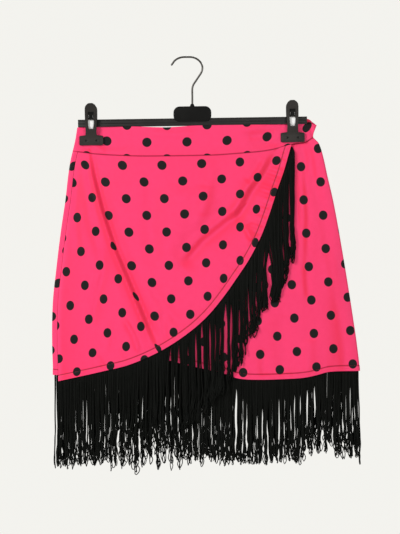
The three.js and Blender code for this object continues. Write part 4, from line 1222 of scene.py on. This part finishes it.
def fringePaths(spec, sizes):
    # Each yarn is a long loop: one leg down, a curled turn at the end, and one leg up.
    rng = np.random.default_rng(spec["seed"])
    edge, side = spec["edge"], spec["side"]
    loops = int(curveLength(edge) / spec["loopPitch"])
    legs = 2 * loops
    share = (np.arange(legs) + 0.5 + rng.uniform(-sizes["rootShake"], sizes["rootShake"], legs)) / legs
    root = alongCurve(edge, share)
    x0, edgeZ = root[:, 0], root[:, 1]
    across = np.gradient(edge[:, 0])
    slope = np.gradient(edge[:, 1]) / np.where(np.abs(across) < 1e-4, 1e-4, across)
    long = np.hypot(1, np.interp(share, np.linspace(0, 1, len(edge)), slope))
    long = np.minimum(long, sizes["steepest"])
    rootZ = np.minimum(edgeZ + sizes["rootAbove"] * long, seamAt(x0) - sizes["belowSeam"])
    loop = np.repeat(np.arange(loops), 2)
    uneven = rng.normal(0, sizes["unevenEnds"], loops)[loop]
    uneven = uneven + rng.uniform(-sizes["legShake"], sizes["legShake"], legs)
    raised = rng.uniform(0, 1, loops)[loop] > 1 - sizes["raisedShare"]
    lowered = rng.uniform(0, 1, loops)[loop] > 1 - sizes["loweredShare"]
    uneven += sizes["raisedBy"] * raised - sizes["loweredBy"] * lowered
    short = rng.uniform(0, 1, loops)[loop] < readTable(shortRows, x0)
    uneven += short * rng.uniform(*sizes["shortBy"], loops)[loop]
    middle = 0.5 * (x0[0::2] + x0[1::2])[loop]
    away, lock = nearestLock(middle, sizes["lockPitch"], spec["seed"] + 5)
    uneven += sizes["lockEnds"] * rng.normal(0, 1, lock.max() + 1)[lock]
    end = readTable(spec["ends"], x0) + uneven
    t = 1 - (1 - np.linspace(0, 1, sizes["points"])) ** sizes["endCrowding"]
    z = rootZ[:, None] + (end - rootZ)[:, None] * t
    x = x0[:, None] + np.zeros_like(z)
    below = np.maximum(edgeZ[:, None] - z, 0)
    loose = step01(below / sizes["looseBelow"])
    swing = sizes["sway"] * t * np.sin(x * sizes["waves"] + 1.7 * t)
    pull = (readTable(clumpRows, x0) * away)[:, None] * loose
    drift = step01((x0[:, None] - sizes["driftFrom"]) / sizes["driftOver"])
    drift = spec["drift"] * drift * step01((below + sizes["driftAbove"]) / sizes["driftDown"])
    x = x + swing + pull + partYarns(spec["partings"], middle[:, None], z) + drift
    x = x + sizes["stray"] * rng.normal(0, 1.0, legs)[:, None] * loose
    hand = np.where(np.arange(legs) % 2 == 0, -1.0, 1.0)[:, None]
    opening = sizes["splay"] * rng.uniform(*sizes["splayRange"], loops)[loop][:, None]
    opened = np.sin(np.pi * np.clip((t - sizes["splayFrom"]) / sizes["splayOver"], 0, 1))
    x = x + hand * 0.5 * opening * opened
    curled = step01((t - sizes["curlFrom"]) / (1 - sizes["curlFrom"]))
    curled = curled * rng.uniform(*sizes["curlRange"], loops)[loop][:, None]
    curlLength = sizes["curlLength"] * rng.uniform(*sizes["curlLengths"], loops)[loop][:, None]
    turn = (rootZ[:, None] - z) * 2 * math.pi / curlLength
    phase = rng.uniform(0, 2 * math.pi, loops)[loop][:, None]
    x = x + sizes["curl"] * curled * np.sin(turn + phase)
    x = np.clip(x, leftAt(z) + sizes["sideRoom"], rightAt(z) - sizes["sideRoom"])
    rootDepth, nearest, farthest = spec["depths"]
    hanging = mix(nearest, farthest, rng.uniform(0, 1, legs)[:, None])
    depth = spec["behind"](x, z) + mix(rootDepth, hanging, step01(below / sizes["settlesOver"]))
    depth = depth + sizes["curlDepth"] * sizes["curl"] * curled * np.cos(turn + phase)
    points, _ = wallPoint(side, x, z, depth)
    down, up = points[0::2], points[1::2][:, ::-1]
    low = 0.5 * (down[:, -1] + up[:, 0])
    turned = low[:, None, :] - np.array([0, 0, sizes["turn"]])
    paths = np.concatenate([down, turned, up], axis=1)
    looseness = np.concatenate([loose[0::2], np.ones((loops, 1)), loose[1::2][:, ::-1]], axis=1)
    return paths, looseness


def makeYarnTree():
    tree, given, made = newGroup("hangingYarns", [
        ("Guides", "NodeSocketGeometry", None),
        ("Yarn radius", "NodeSocketFloat", 0.0005),
        ("Sides", "NodeSocketInt", 4),
        ("Waviness", "NodeSocketFloat", 0.001),
        ("Wave size", "NodeSocketFloat", 0.04),
        ("Seed", "NodeSocketFloat", 3.0),
        ("Yarn", "NodeSocketMaterial", None),
    ], [("Yarns", "NodeSocketGeometry")], "GeometryNodeTree")
    link = tree.links.new
    position = addNode(tree, "GeometryNodeInputPosition", (-1, 3))
    noise = addNode(tree, "ShaderNodeTexNoise", (1, 3), {"noise_dimensions": "4D"}, Detail=1.0)
    link(position.outputs[0], noise.inputs["Vector"])
    link(given["Seed"], noise.inputs["W"])
    link(mathNode(tree, (0, 4), "DIVIDE", 1.0, given["Wave size"]), noise.inputs["Scale"])
    centred = addNode(tree, "ShaderNodeVectorMath", (2, 3), {"operation": "SUBTRACT"})
    centred.inputs[1].default_value = (0.5, 0.5, 0.5)
    link(noise.outputs["Color"], centred.inputs[0])
    flat = addNode(tree, "ShaderNodeVectorMath", (3, 3), {"operation": "MULTIPLY"})
    flat.inputs[1].default_value = (2.0, 0.5, 0.0)
    link(centred.outputs[0], flat.inputs[0])
    loose = addNode(tree, "GeometryNodeInputNamedAttribute", (1, 5), {"data_type": "FLOAT"}, Name="loose")
    amount = mathNode(tree, (3, 5), "MULTIPLY", loose.outputs["Attribute"], given["Waviness"])
    offset = addNode(tree, "ShaderNodeVectorMath", (4, 3), {"operation": "SCALE"})
    link(flat.outputs[0], offset.inputs[0])
    link(amount, offset.inputs["Scale"])
    toCurve = addNode(tree, "GeometryNodeMeshToCurve", (0, 0))
    move = addNode(tree, "GeometryNodeSetPosition", (5, 0))
    ring = addNode(tree, "GeometryNodeCurvePrimitiveCircle", (5, 2), {"mode": "RADIUS"})
    sweep = addNode(tree, "GeometryNodeCurveToMesh", (6, 0), Fill_Caps=True)
    shade = addNode(tree, "GeometryNodeSetShadeSmooth", (7, 0))
    real = addNode(tree, "GeometryNodeRealizeInstances", (8, 0))
    paint = addNode(tree, "GeometryNodeSetMaterial", (9, 0))
    link(given["Guides"], toCurve.inputs["Mesh"])
    link(toCurve.outputs["Curve"], move.inputs["Geometry"])
    link(offset.outputs[0], move.inputs["Offset"])
    link(given["Sides"], ring.inputs["Resolution"])
    link(given["Yarn radius"], ring.inputs["Radius"])
    link(move.outputs["Geometry"], sweep.inputs["Curve"])
    link(ring.outputs["Curve"], sweep.inputs["Profile Curve"])
    link(sweep.outputs["Mesh"], shade.inputs["Geometry"])
    link(shade.outputs["Geometry"], real.inputs["Geometry"])
    link(real.outputs["Geometry"], paint.inputs["Geometry"])
    link(given["Yarn"], paint.inputs["Material"])
    link(paint.outputs["Geometry"], made["Yarns"])
    return tree


yarnTree = makeYarnTree()


def headingStrip(name, spec, sizes):
    # The narrow woven heading that holds the yarns, behind the edge.
    inward = inwardOf(spec["edge"], spec["inward"])[::sizes["headingColumns"]]
    edge = spec["edge"][::sizes["headingColumns"]]
    room = sizes["headingSides"]
    rows = []
    for d in np.linspace(sizes["headingLow"], sizes["headingHigh"], sizes["headingRows"]):
        line = edge + inward * d
        x = np.clip(line[:, 0], leftAt(line[:, 1]) + room, rightAt(line[:, 1]) - room)
        z = np.minimum(line[:, 1], seamAt(x) - sizes["headingBelow"])
        points, _ = wallPoint(spec["side"], x, z, spec["behind"](x, z) + spec["headingDeep"])
        rows.append(points)
    mesh = gridMesh(name, np.stack(rows, axis=1), (0, spec["side"], 0))
    mesh.materials.append(blackYarn)
    obj = linkObject(name, mesh)
    thicken(obj, sizes["headingThick"])
    return plainMesh(obj)


def joinInto(target, others):
    # Joins meshes into one object, which keeps the materials of all of them.
    whole = bmesh.new()
    surfaces = list(target.data.materials)
    for obj in [target, *others]:
        first = len(whole.faces)
        whole.from_mesh(obj.data)
        whole.faces.ensure_lookup_table()
        slots = []
        for material in obj.data.materials:
            if material not in surfaces:
                surfaces.append(material)
            slots.append(surfaces.index(material))
        for n in range(first, len(whole.faces)):
            whole.faces[n].material_index = slots[whole.faces[n].material_index]
    made = bpy.data.meshes.new(target.name)
    whole.to_mesh(made)
    whole.free()
    for material in surfaces:
        made.materials.append(material)
    target.data = made
    for obj in others:
        bpy.data.objects.remove(obj)
    return target


def makeFringe(name, spec, sizes):
    paths, looseness = fringePaths(spec, sizes)
    yarns = polylines(name, paths, ("loose", looseness))
    runTree(yarns, yarnTree, {
        "Yarn radius": 0.5 * sizes["yarn"] * mm, "Sides": sizes["sides"], "Waviness": sizes["waviness"] * mm,
        "Wave size": sizes["waveSize"] * mm, "Seed": float(spec["seed"]), "Yarn": blackYarn,
    })
    joinInto(yarns, [headingStrip(name + "Heading", spec, sizes)])
    smooth(yarns)
    print(name, "has", len(paths), "loops of yarn")
    return yarns


def stretchOf(edge, low, high):
    return edge[(edge[:, 0] >= low) & (edge[:, 0] <= high)]


# Depths are behind the cloth's outer face or the under panel's: at the root, then the
# nearest and the farthest that a yarn hangs. Drift swings the yarns right past the right clip.
overSpec = {
    "seed": 3, "side": -1, "edge": overEdge[(overEdge[:, 0] > -201.5) & (overEdge[:, 1] < -140)],
    "inward": 1, "ends": overEnds, "loopPitch": 1.75, "partings": overPartings + freePartings,
    "behind": noDepth, "depths": (1.75, 0.3, 1.9), "headingDeep": layer["fringeOver"], "drift": 6.0,
}
underSpec = {
    "seed": 11, "side": -1, "edge": stretchOf(underEdge, -112, 270.5),
    "inward": -1, "ends": underEnds, "loopPitch": 1.65, "partings": freePartings,
    "behind": underDepth, "depths": (2.0, 1.6, 3.0), "headingDeep": layer["fringeUnder"] - 0.4,
    "drift": 0.0,
}
backSpec = {
    "seed": 23, "side": 1, "edge": stretchOf(backEdge, -209, 270.5),
    "inward": 1, "ends": backEnds, "loopPitch": 1.75, "partings": backPartings,
    "behind": noDepth, "depths": (1.8, 0.9, 2.4), "headingDeep": layer["backing"], "drift": 0.0,
}
overFringe = makeFringe("overFringe", overSpec, fringeSizes)
underFringe = makeFringe("underFringe", underSpec, fringeSizes)
backFringe = makeFringe("backFringe", backSpec, fringeSizes)
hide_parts("fringe_over")
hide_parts("fringe_under")
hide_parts("fringe_back")
print("fringe is hung")


# Clip hanger

barSizes = {
    "length": 359.0, "height": 11.5, "depth": 8.0, "tilt": 0.0145, "middle": (8.65, 0.0, -100.45),
    "grooveDepth": 0.8, "grooveInner": 0.7, "grooveOuter": 4.0, "soft": 0.3,
    "plateWidth": 59.4, "plateHeight": 24.4, "plateCorner": 9.8, "plateDepth": 9.6, "plateLift": 12.15,
    "plateSoft": 1.1, "socketBase": 4.2, "socketTop": 2.6, "socketHeight": 4.2, "socketHole": 1.6,
}


def extruded(name, outlinePoints, depth, axis):
    # A closed bar from an outline, as long as depth and centred. Axis X takes the outline
    # as (y, z), and axis Y as (x, z).
    mesh = bmesh.new()
    rings = []
    for end in (-depth / 2, depth / 2):
        ring = []
        for a, b in outlinePoints:
            place = (end, a, b) if axis == "X" else (a, end, b)
            ring.append(mesh.verts.new(Vector(place) * mm))
        rings.append(ring)
    count = len(outlinePoints)
    for n in range(count):
        m = (n + 1) % count
        mesh.faces.new((rings[0][n], rings[0][m], rings[1][m], rings[1][n]))
    mesh.faces.new(rings[0][::-1])
    mesh.faces.new(rings[1])
    bmesh.ops.recalc_face_normals(mesh, faces=mesh.faces)
    return toObject(name, mesh)


def lathed(name, profile, steps=32):
    # A turned piece from (radius, height) pairs, closed where its radius is zero.
    mesh = bmesh.new()
    rings = []
    for radius, height in profile:
        if radius == 0:
            rings.append([mesh.verts.new(Vector((0, 0, height)) * mm)])
            continue
        ring = []
        for k in range(steps):
            turn = k * 2 * math.pi / steps
            place = Vector((radius * math.cos(turn), radius * math.sin(turn), height))
            ring.append(mesh.verts.new(place * mm))
        rings.append(ring)
    for low, high in zip(rings, rings[1:]):
        for k in range(steps):
            m = (k + 1) % steps
            corners = [low[k % len(low)], low[m % len(low)], high[m % len(high)], high[k % len(high)]]
            mesh.faces.new(list(dict.fromkeys(corners)))
    bmesh.ops.recalc_face_normals(mesh, faces=mesh.faces)
    obj = toObject(name, mesh)
    smooth(obj)
    return obj


def roundedOutline(width, height, corner, steps=8):
    points = []
    centres = ((1, 1, 0), (-1, 1, 90), (-1, -1, 180), (1, -1, 270))
    for sx, sz, start in centres:
        for k in range(steps + 1):
            turn = math.radians(start + 90 * k / steps)
            points.append((sx * (width / 2 - corner) + corner * math.cos(turn),
                           sz * (height / 2 - corner) + corner * math.sin(turn)))
    return points


def placed(obj, matrix, material=None):
    obj.data.transform(matrix)
    if material:
        obj.data.materials.clear()
        obj.data.materials.append(material)
    obj.data.update()
    return obj


def tilted(place, tilt):
    return Matrix.Translation(Vector(place) * mm) @ Matrix.Rotation(-tilt, 4, "Y")


def makeBar(s):
    y, z = s["depth"] / 2, s["height"] / 2
    sunk = y - s["grooveDepth"]
    one = [(y, -z), (y, -s["grooveOuter"]), (sunk, -s["grooveOuter"] + 0.4), (sunk, -s["grooveInner"] - 0.3),
           (y, -s["grooveInner"]), (y, s["grooveInner"]), (sunk, s["grooveInner"] + 0.3),
           (sunk, s["grooveOuter"] - 0.4), (y, s["grooveOuter"]), (y, z)]
    profile = one + [(-a, -b) for a, b in one]
    rod = softened(extruded("hangerBar", profile, s["length"], "X"), s["soft"])
    face = roundedOutline(s["plateWidth"], s["plateHeight"], s["plateCorner"])
    plate = softened(extruded("plate", face, s["plateDepth"], "Y"), s["plateSoft"], 3, 50)
    plate.data.transform(Matrix.Translation((0, 0, s["plateLift"] * mm)))
    top = s["plateLift"] + s["plateHeight"] / 2
    high = top + s["socketHeight"] - 0.4
    nub = lathed("nub", [
        (0, top - 3), (s["socketBase"], top - 3), (s["socketBase"], top - 0.2),
        (s["socketBase"] - 0.5, top + 0.6), (s["socketTop"], high - 0.4), (s["socketTop"] - 0.4, high),
        (s["socketHole"], high), (s["socketHole"], high - 2), (0, high - 2),
    ])
    for piece, surface in ((rod, barPlastic), (plate, plateAndClipShadePlastic), (nub, plateAndClipShadePlastic)):
        piece.data.materials.append(surface)
    joinInto(rod, [plate, nub])
    return placed(rod, tilted(s["middle"], s["tilt"]))


hangerBar = makeBar(barSizes)
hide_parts("hanger_bar")

hookSizes = {"radius": 1.5, "steps": 160, "tipSteps": 4}
hookRoute = [
    (-24.0, -10.6), (-18.5, -3.6), (-10.5, 0.6), (0, 1.5), (9.5, 0.9), (16.5, -2.2), (21.8, -7.6),
    (24.2, -14.6), (23.0, -21.6), (15.8, -33.2), (9.6, -43.0), (8.35, -48.5), (8.35, -60.0), (8.35, -84.6),
]


def makeHook(s):
    path = curveThrough(hookRoute, s["steps"])
    start, onward = path[0], path[1] - path[0]
    onward = onward / np.linalg.norm(onward)
    cap = []
    for k in range(s["tipSteps"]):
        turn = math.pi / 2 * (1 - (k + 0.3) / (s["tipSteps"] + 0.3))
        cap.append((start - onward * s["radius"] * math.sin(turn), math.cos(turn)))
    route = cap + [(p, 1.0) for p in path]
    curve = bpy.data.curves.new("hookWire", "CURVE")
    curve.dimensions = "3D"
    curve.bevel_depth = s["radius"] * mm
    curve.bevel_resolution = 4
    curve.use_fill_caps = True
    spline = curve.splines.new("POLY")
    spline.points.add(len(route) - 1)
    for point, (place, width) in zip(spline.points, route):
        point.co = (place[0] * mm, 0, place[1] * mm, 1)
        point.radius = width
    shape = bpy.data.objects.new("hookShape", curve)
    scene.collection.objects.link(shape)
    bpy.context.view_layer.update()
    graph = bpy.context.evaluated_depsgraph_get()
    made = bpy.data.meshes.new_from_object(shape.evaluated_get(graph), depsgraph=graph)
    bpy.data.objects.remove(shape)
    obj = linkObject("hookWire", made)
    placed(obj, Matrix.Identity(4), hookSteel)
    smooth(obj)
    return obj


hookWire = makeHook(hookSizes)
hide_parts("hanger_hook")

clipSizes = {
    "thick": 2.0, "soft": 0.4, "window": (26.0, 40.2), "slot": (13.6, 17.2), "recess": (18.0, 24.4),
    "recessDepth": 1.1, "glint": (18.9, 22.4), "sideCells": 9, "middleCells": 10,
    "springWidth": 12.0, "springThick": 0.9, "springInner": 4.35, "springTop": 23.0, "springBend": 36.5,
    "springFoot": 41.0, "springTuck": 0.9,
    "dimples": (-8.2, 8.2), "dimpleDrop": 58.2, "dimpleWidth": 1.6, "dimpleDepth": 1.1,
    "padDepth": 0.5, "padRim": 1.5, "padSoft": 0.8, "padHalf": 18.6, "padTop": 51.0, "padFoot": 65.4,
    "windowLevels": (27, 39.5, 8), "padLevels": (53, 64, 22), "recessSoft": 0.4,
}
# Distance below the clip's top, half its width there, and its face's distance from the middle.
jawRows = [
    (0.0, 2.2, 8.6), (0.5, 3.7, 8.55), (1.3, 5.0, 8.4), (2.4, 6.5, 8.25), (3.6, 7.5, 8.1), (5.0, 8.4, 7.95),
    (6.6, 9.0, 7.8), (10.0, 9.35, 7.3), (20.0, 9.35, 6.0), (24.0, 9.3, 5.6), (42.0, 8.4, 5.6),
    (46.0, 8.4, 4.5), (50.2, 8.8, 3.0), (50.9, 17.6, 2.7), (52.0, 18.6, 2.5), (64.4, 18.6, 2.5),
    (65.4, 17.6, 2.5),
]
# Width of the window and of the slot above it, by the distance below the clip's top.
windowWidth = [
    (0.0, 3.0), (13.6, 9.4), (24.4, 9.4), (26.0, 9.8), (34.0, 8.8), (40.2, 6.6), (50.9, 8.0), (66.0, 8.0),
]


def makeJaw(name, side, s):
    table, wide = np.array(jawRows), np.array(windowWidth)
    levels = [row[0] for row in jawRows] + [*s["window"], *s["slot"], *s["recess"], *s["glint"]]
    levels += [s["recess"][0] - s["recessSoft"], s["recess"][1] + s["recessSoft"]]
    levels += [*np.linspace(*s["windowLevels"]), *np.linspace(*s["padLevels"])]
    drops = sorted(set(round(float(level), 3) for level in levels))
    outer, inner = np.linspace(1.0, 0.5, s["sideCells"]), np.linspace(-0.5, 0.5, s["middleCells"] + 1)
    shares = [*(-outer), *inner[1:-1], *outer[::-1]]
    mesh = bmesh.new()
    verts = []
    for drop in drops:
        half = np.interp(drop, table[:, 0], table[:, 1])
        gap = np.interp(drop, table[:, 0], table[:, 2]) + s["thick"]
        clear = min(np.interp(drop, wide[:, 0], wide[:, 1]) / 2, 0.8 * half)
        row = []
        for share in shares:
            x = share * 2 * clear
            if abs(share) > 0.5:
                x = math.copysign(mix(clear, half, 2 * abs(share) - 1), share)
            offs = [math.hypot(x - d, drop - s["dimpleDrop"]) / s["dimpleWidth"] for d in s["dimples"]]
            dimple = sum(math.exp(-off ** 4) for off in offs)
            fromEdge = min(s["padHalf"] - abs(x), drop - s["padTop"], s["padFoot"] - drop)
            pad = s["padDepth"] * float(step01((fromEdge - s["padRim"]) / s["padSoft"]))
            sunk = s["recess"][0] <= drop <= s["recess"][1] and abs(share) < 0.5 and side < 0
            face = gap - s["dimpleDepth"] * dimple - pad - (s["recessDepth"] if sunk else 0)
            row.append(mesh.verts.new(Vector((x, side * face, -drop)) * mm))
        verts.append(row)
    for j in range(len(drops) - 1):
        level = (drops[j] + drops[j + 1]) / 2
        for i in range(len(shares) - 1):
            across = abs(shares[i] + shares[i + 1]) / 2
            inWindow = s["window"][0] < level < s["window"][1]
            inSlot = side < 0 and s["slot"][0] < level < s["slot"][1]
            inGlint = side < 0 and s["glint"][0] < level < s["glint"][1] and 0.3 < across < 0.4
            if not (across < 0.5 and (inWindow or inSlot or inGlint)):
                face = mesh.faces.new((verts[j][i], verts[j + 1][i], verts[j + 1][i + 1], verts[j][i + 1]))
                middle = face.calc_center_median() / mm
                offs = [math.hypot(middle.x - d, level - s["dimpleDrop"]) for d in s["dimples"]]
                inDimple = min(offs) < s["dimpleWidth"]
                inRecess = side < 0 and across < 0.5 and s["recess"][0] < level < s["recess"][1]
                # Faces in the dimples and in the recess take the darker plastic: painted shade in those
                # hollows.
                face.material_index = 1 if inDimple or inRecess else 0
    bmesh.ops.delete(mesh, geom=[v for v in mesh.verts if not v.link_faces], context="VERTS")
    mesh.normal_update()
    if sum(f.normal.y for f in mesh.faces) * side < 0:
        bmesh.ops.reverse_faces(mesh, faces=mesh.faces)
    obj = toObject(name, mesh)
    obj.data.materials.append(clipPlastic)
    obj.data.materials.append(plateAndClipShadePlastic)
    # The jaw's inner face takes the darker plastic too: painted shade inside the clip.
    thicken(obj, s["thick"], 1)
    return softened(obj, s["soft"], 2, 50)


def makeSpring(name, s):
    outer = s["springInner"] + s["springThick"]
    low, tuck = -s["springFoot"], s["springTuck"]
    arc = [math.pi * k / 16 for k in range(17)]
    outside = [(outer * math.cos(t), -s["springTop"] + outer * math.sin(t)) for t in arc]
    inner, bend = s["springInner"], -s["springBend"]
    inside = [(inner * math.cos(t), -s["springTop"] + inner * math.sin(t)) for t in reversed(arc)]
    profile = [(outer - tuck, low), (outer, bend), *outside, (-outer, bend), (tuck - outer, low),
               (tuck - inner, low), (-inner, bend), *inside, (inner, bend), (inner - tuck, low)]
    return softened(extruded(name, profile, s["springWidth"], "X"), 0.2, 2, 50)


clips = []
for hand, top in clipTops.items():
    matrix = tilted(top, barSizes["tilt"])
    for side, word in ((-1, "Front"), (1, "Back")):
        jaw = placed(makeJaw(f"{hand}Clip{word}", side, clipSizes), matrix)
        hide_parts(f"clip_{hand}_{word.lower()}")
        clips.append(jaw)
    spring = placed(makeSpring(f"{hand}ClipSpring", clipSizes), matrix, springSteelPaintedReflection)
    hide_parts(f"clip_{hand}_spring")
    clips.append(spring)
print("hanger is made")


# Floor, light and surroundings

def makeFloor(s):
    mesh = bmesh.new()
    bmesh.ops.create_circle(mesh, cap_ends=True, segments=64, radius=s["floorRadius"] * mm)
    floor = toObject("floor", mesh)
    floor.data.transform(Matrix.Translation((s["centreX"] * mm, 0, s["floorLevel"] * mm)))
    surface = plainSurface("paleFloor", s["floorTone"], s["floorWorn"], 0.75, fineness=90.0, patches=2.0)
    floor.data.materials.append(surface)


def areaLight(name, place, target, size, power):
    light = bpy.data.lights.new(name, "AREA")
    light.shape = "DISK"
    light.size = size
    light.energy = power
    obj = bpy.data.objects.new(name, light)
    scene.collection.objects.link(obj)
    obj.location = place
    obj.rotation_euler = (Vector(target) - Vector(place)).to_track_quat("-Z", "Y").to_euler()


def makeWorld(s):
    world = bpy.data.worlds.new("studio")
    scene.world = world
    world.use_nodes = True
    tree = world.node_tree
    background = tree.nodes["Background"]
    background.inputs["Color"].default_value = (*s["wallTone"], 1)
    path = tree.nodes.new("ShaderNodeLightPath")
    strength = tree.nodes.new("ShaderNodeMapRange")
    strength.inputs["To Min"].default_value = s["ambient"]
    strength.inputs["To Max"].default_value = 1.0
    tree.links.new(path.outputs["Is Camera Ray"], strength.inputs["Value"])
    tree.links.new(strength.outputs["Result"], background.inputs["Strength"])


makeFloor(stageSizes)
makeWorld(stageSizes)
# Each light's place and target in metres, its width and its power.
studioLights = {
    "keyLight": ((-2.3, -1.5, 0.9), (0, 0, -0.35), 0.8, 74),
    "fillLight": ((1.6, -2.3, 0.2), (0, 0, -0.35), 1.6, 22),
    "rearLight": ((0.6, 2.2, 1.0), (0, 0, -0.3), 1.4, 34),
}
for lightName, (place, target, width, power) in studioLights.items():
    areaLight(lightName, place, target, width, power)
scene.view_settings.view_transform = "Standard"
print("studio is lit")


# What each piece is, and what it rides on

slots = {
    "dotted_cloth": [bands[-1], bands[1], overPanel, underPanel, backPanel,
                     overStitches, underStitches, backStitches],
    "black_fringe": [overFringe, underFringe, backFringe],
    "black_plastic": [hangerBar] + [c for c in clips if "Spring" not in c.name],
    "hook_wire": [hookWire],
    "spring_steel": [c for c in clips if "Spring" in c.name],
}
for slotName, pieces in slots.items():
    for piece in pieces:
        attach(piece, "root")
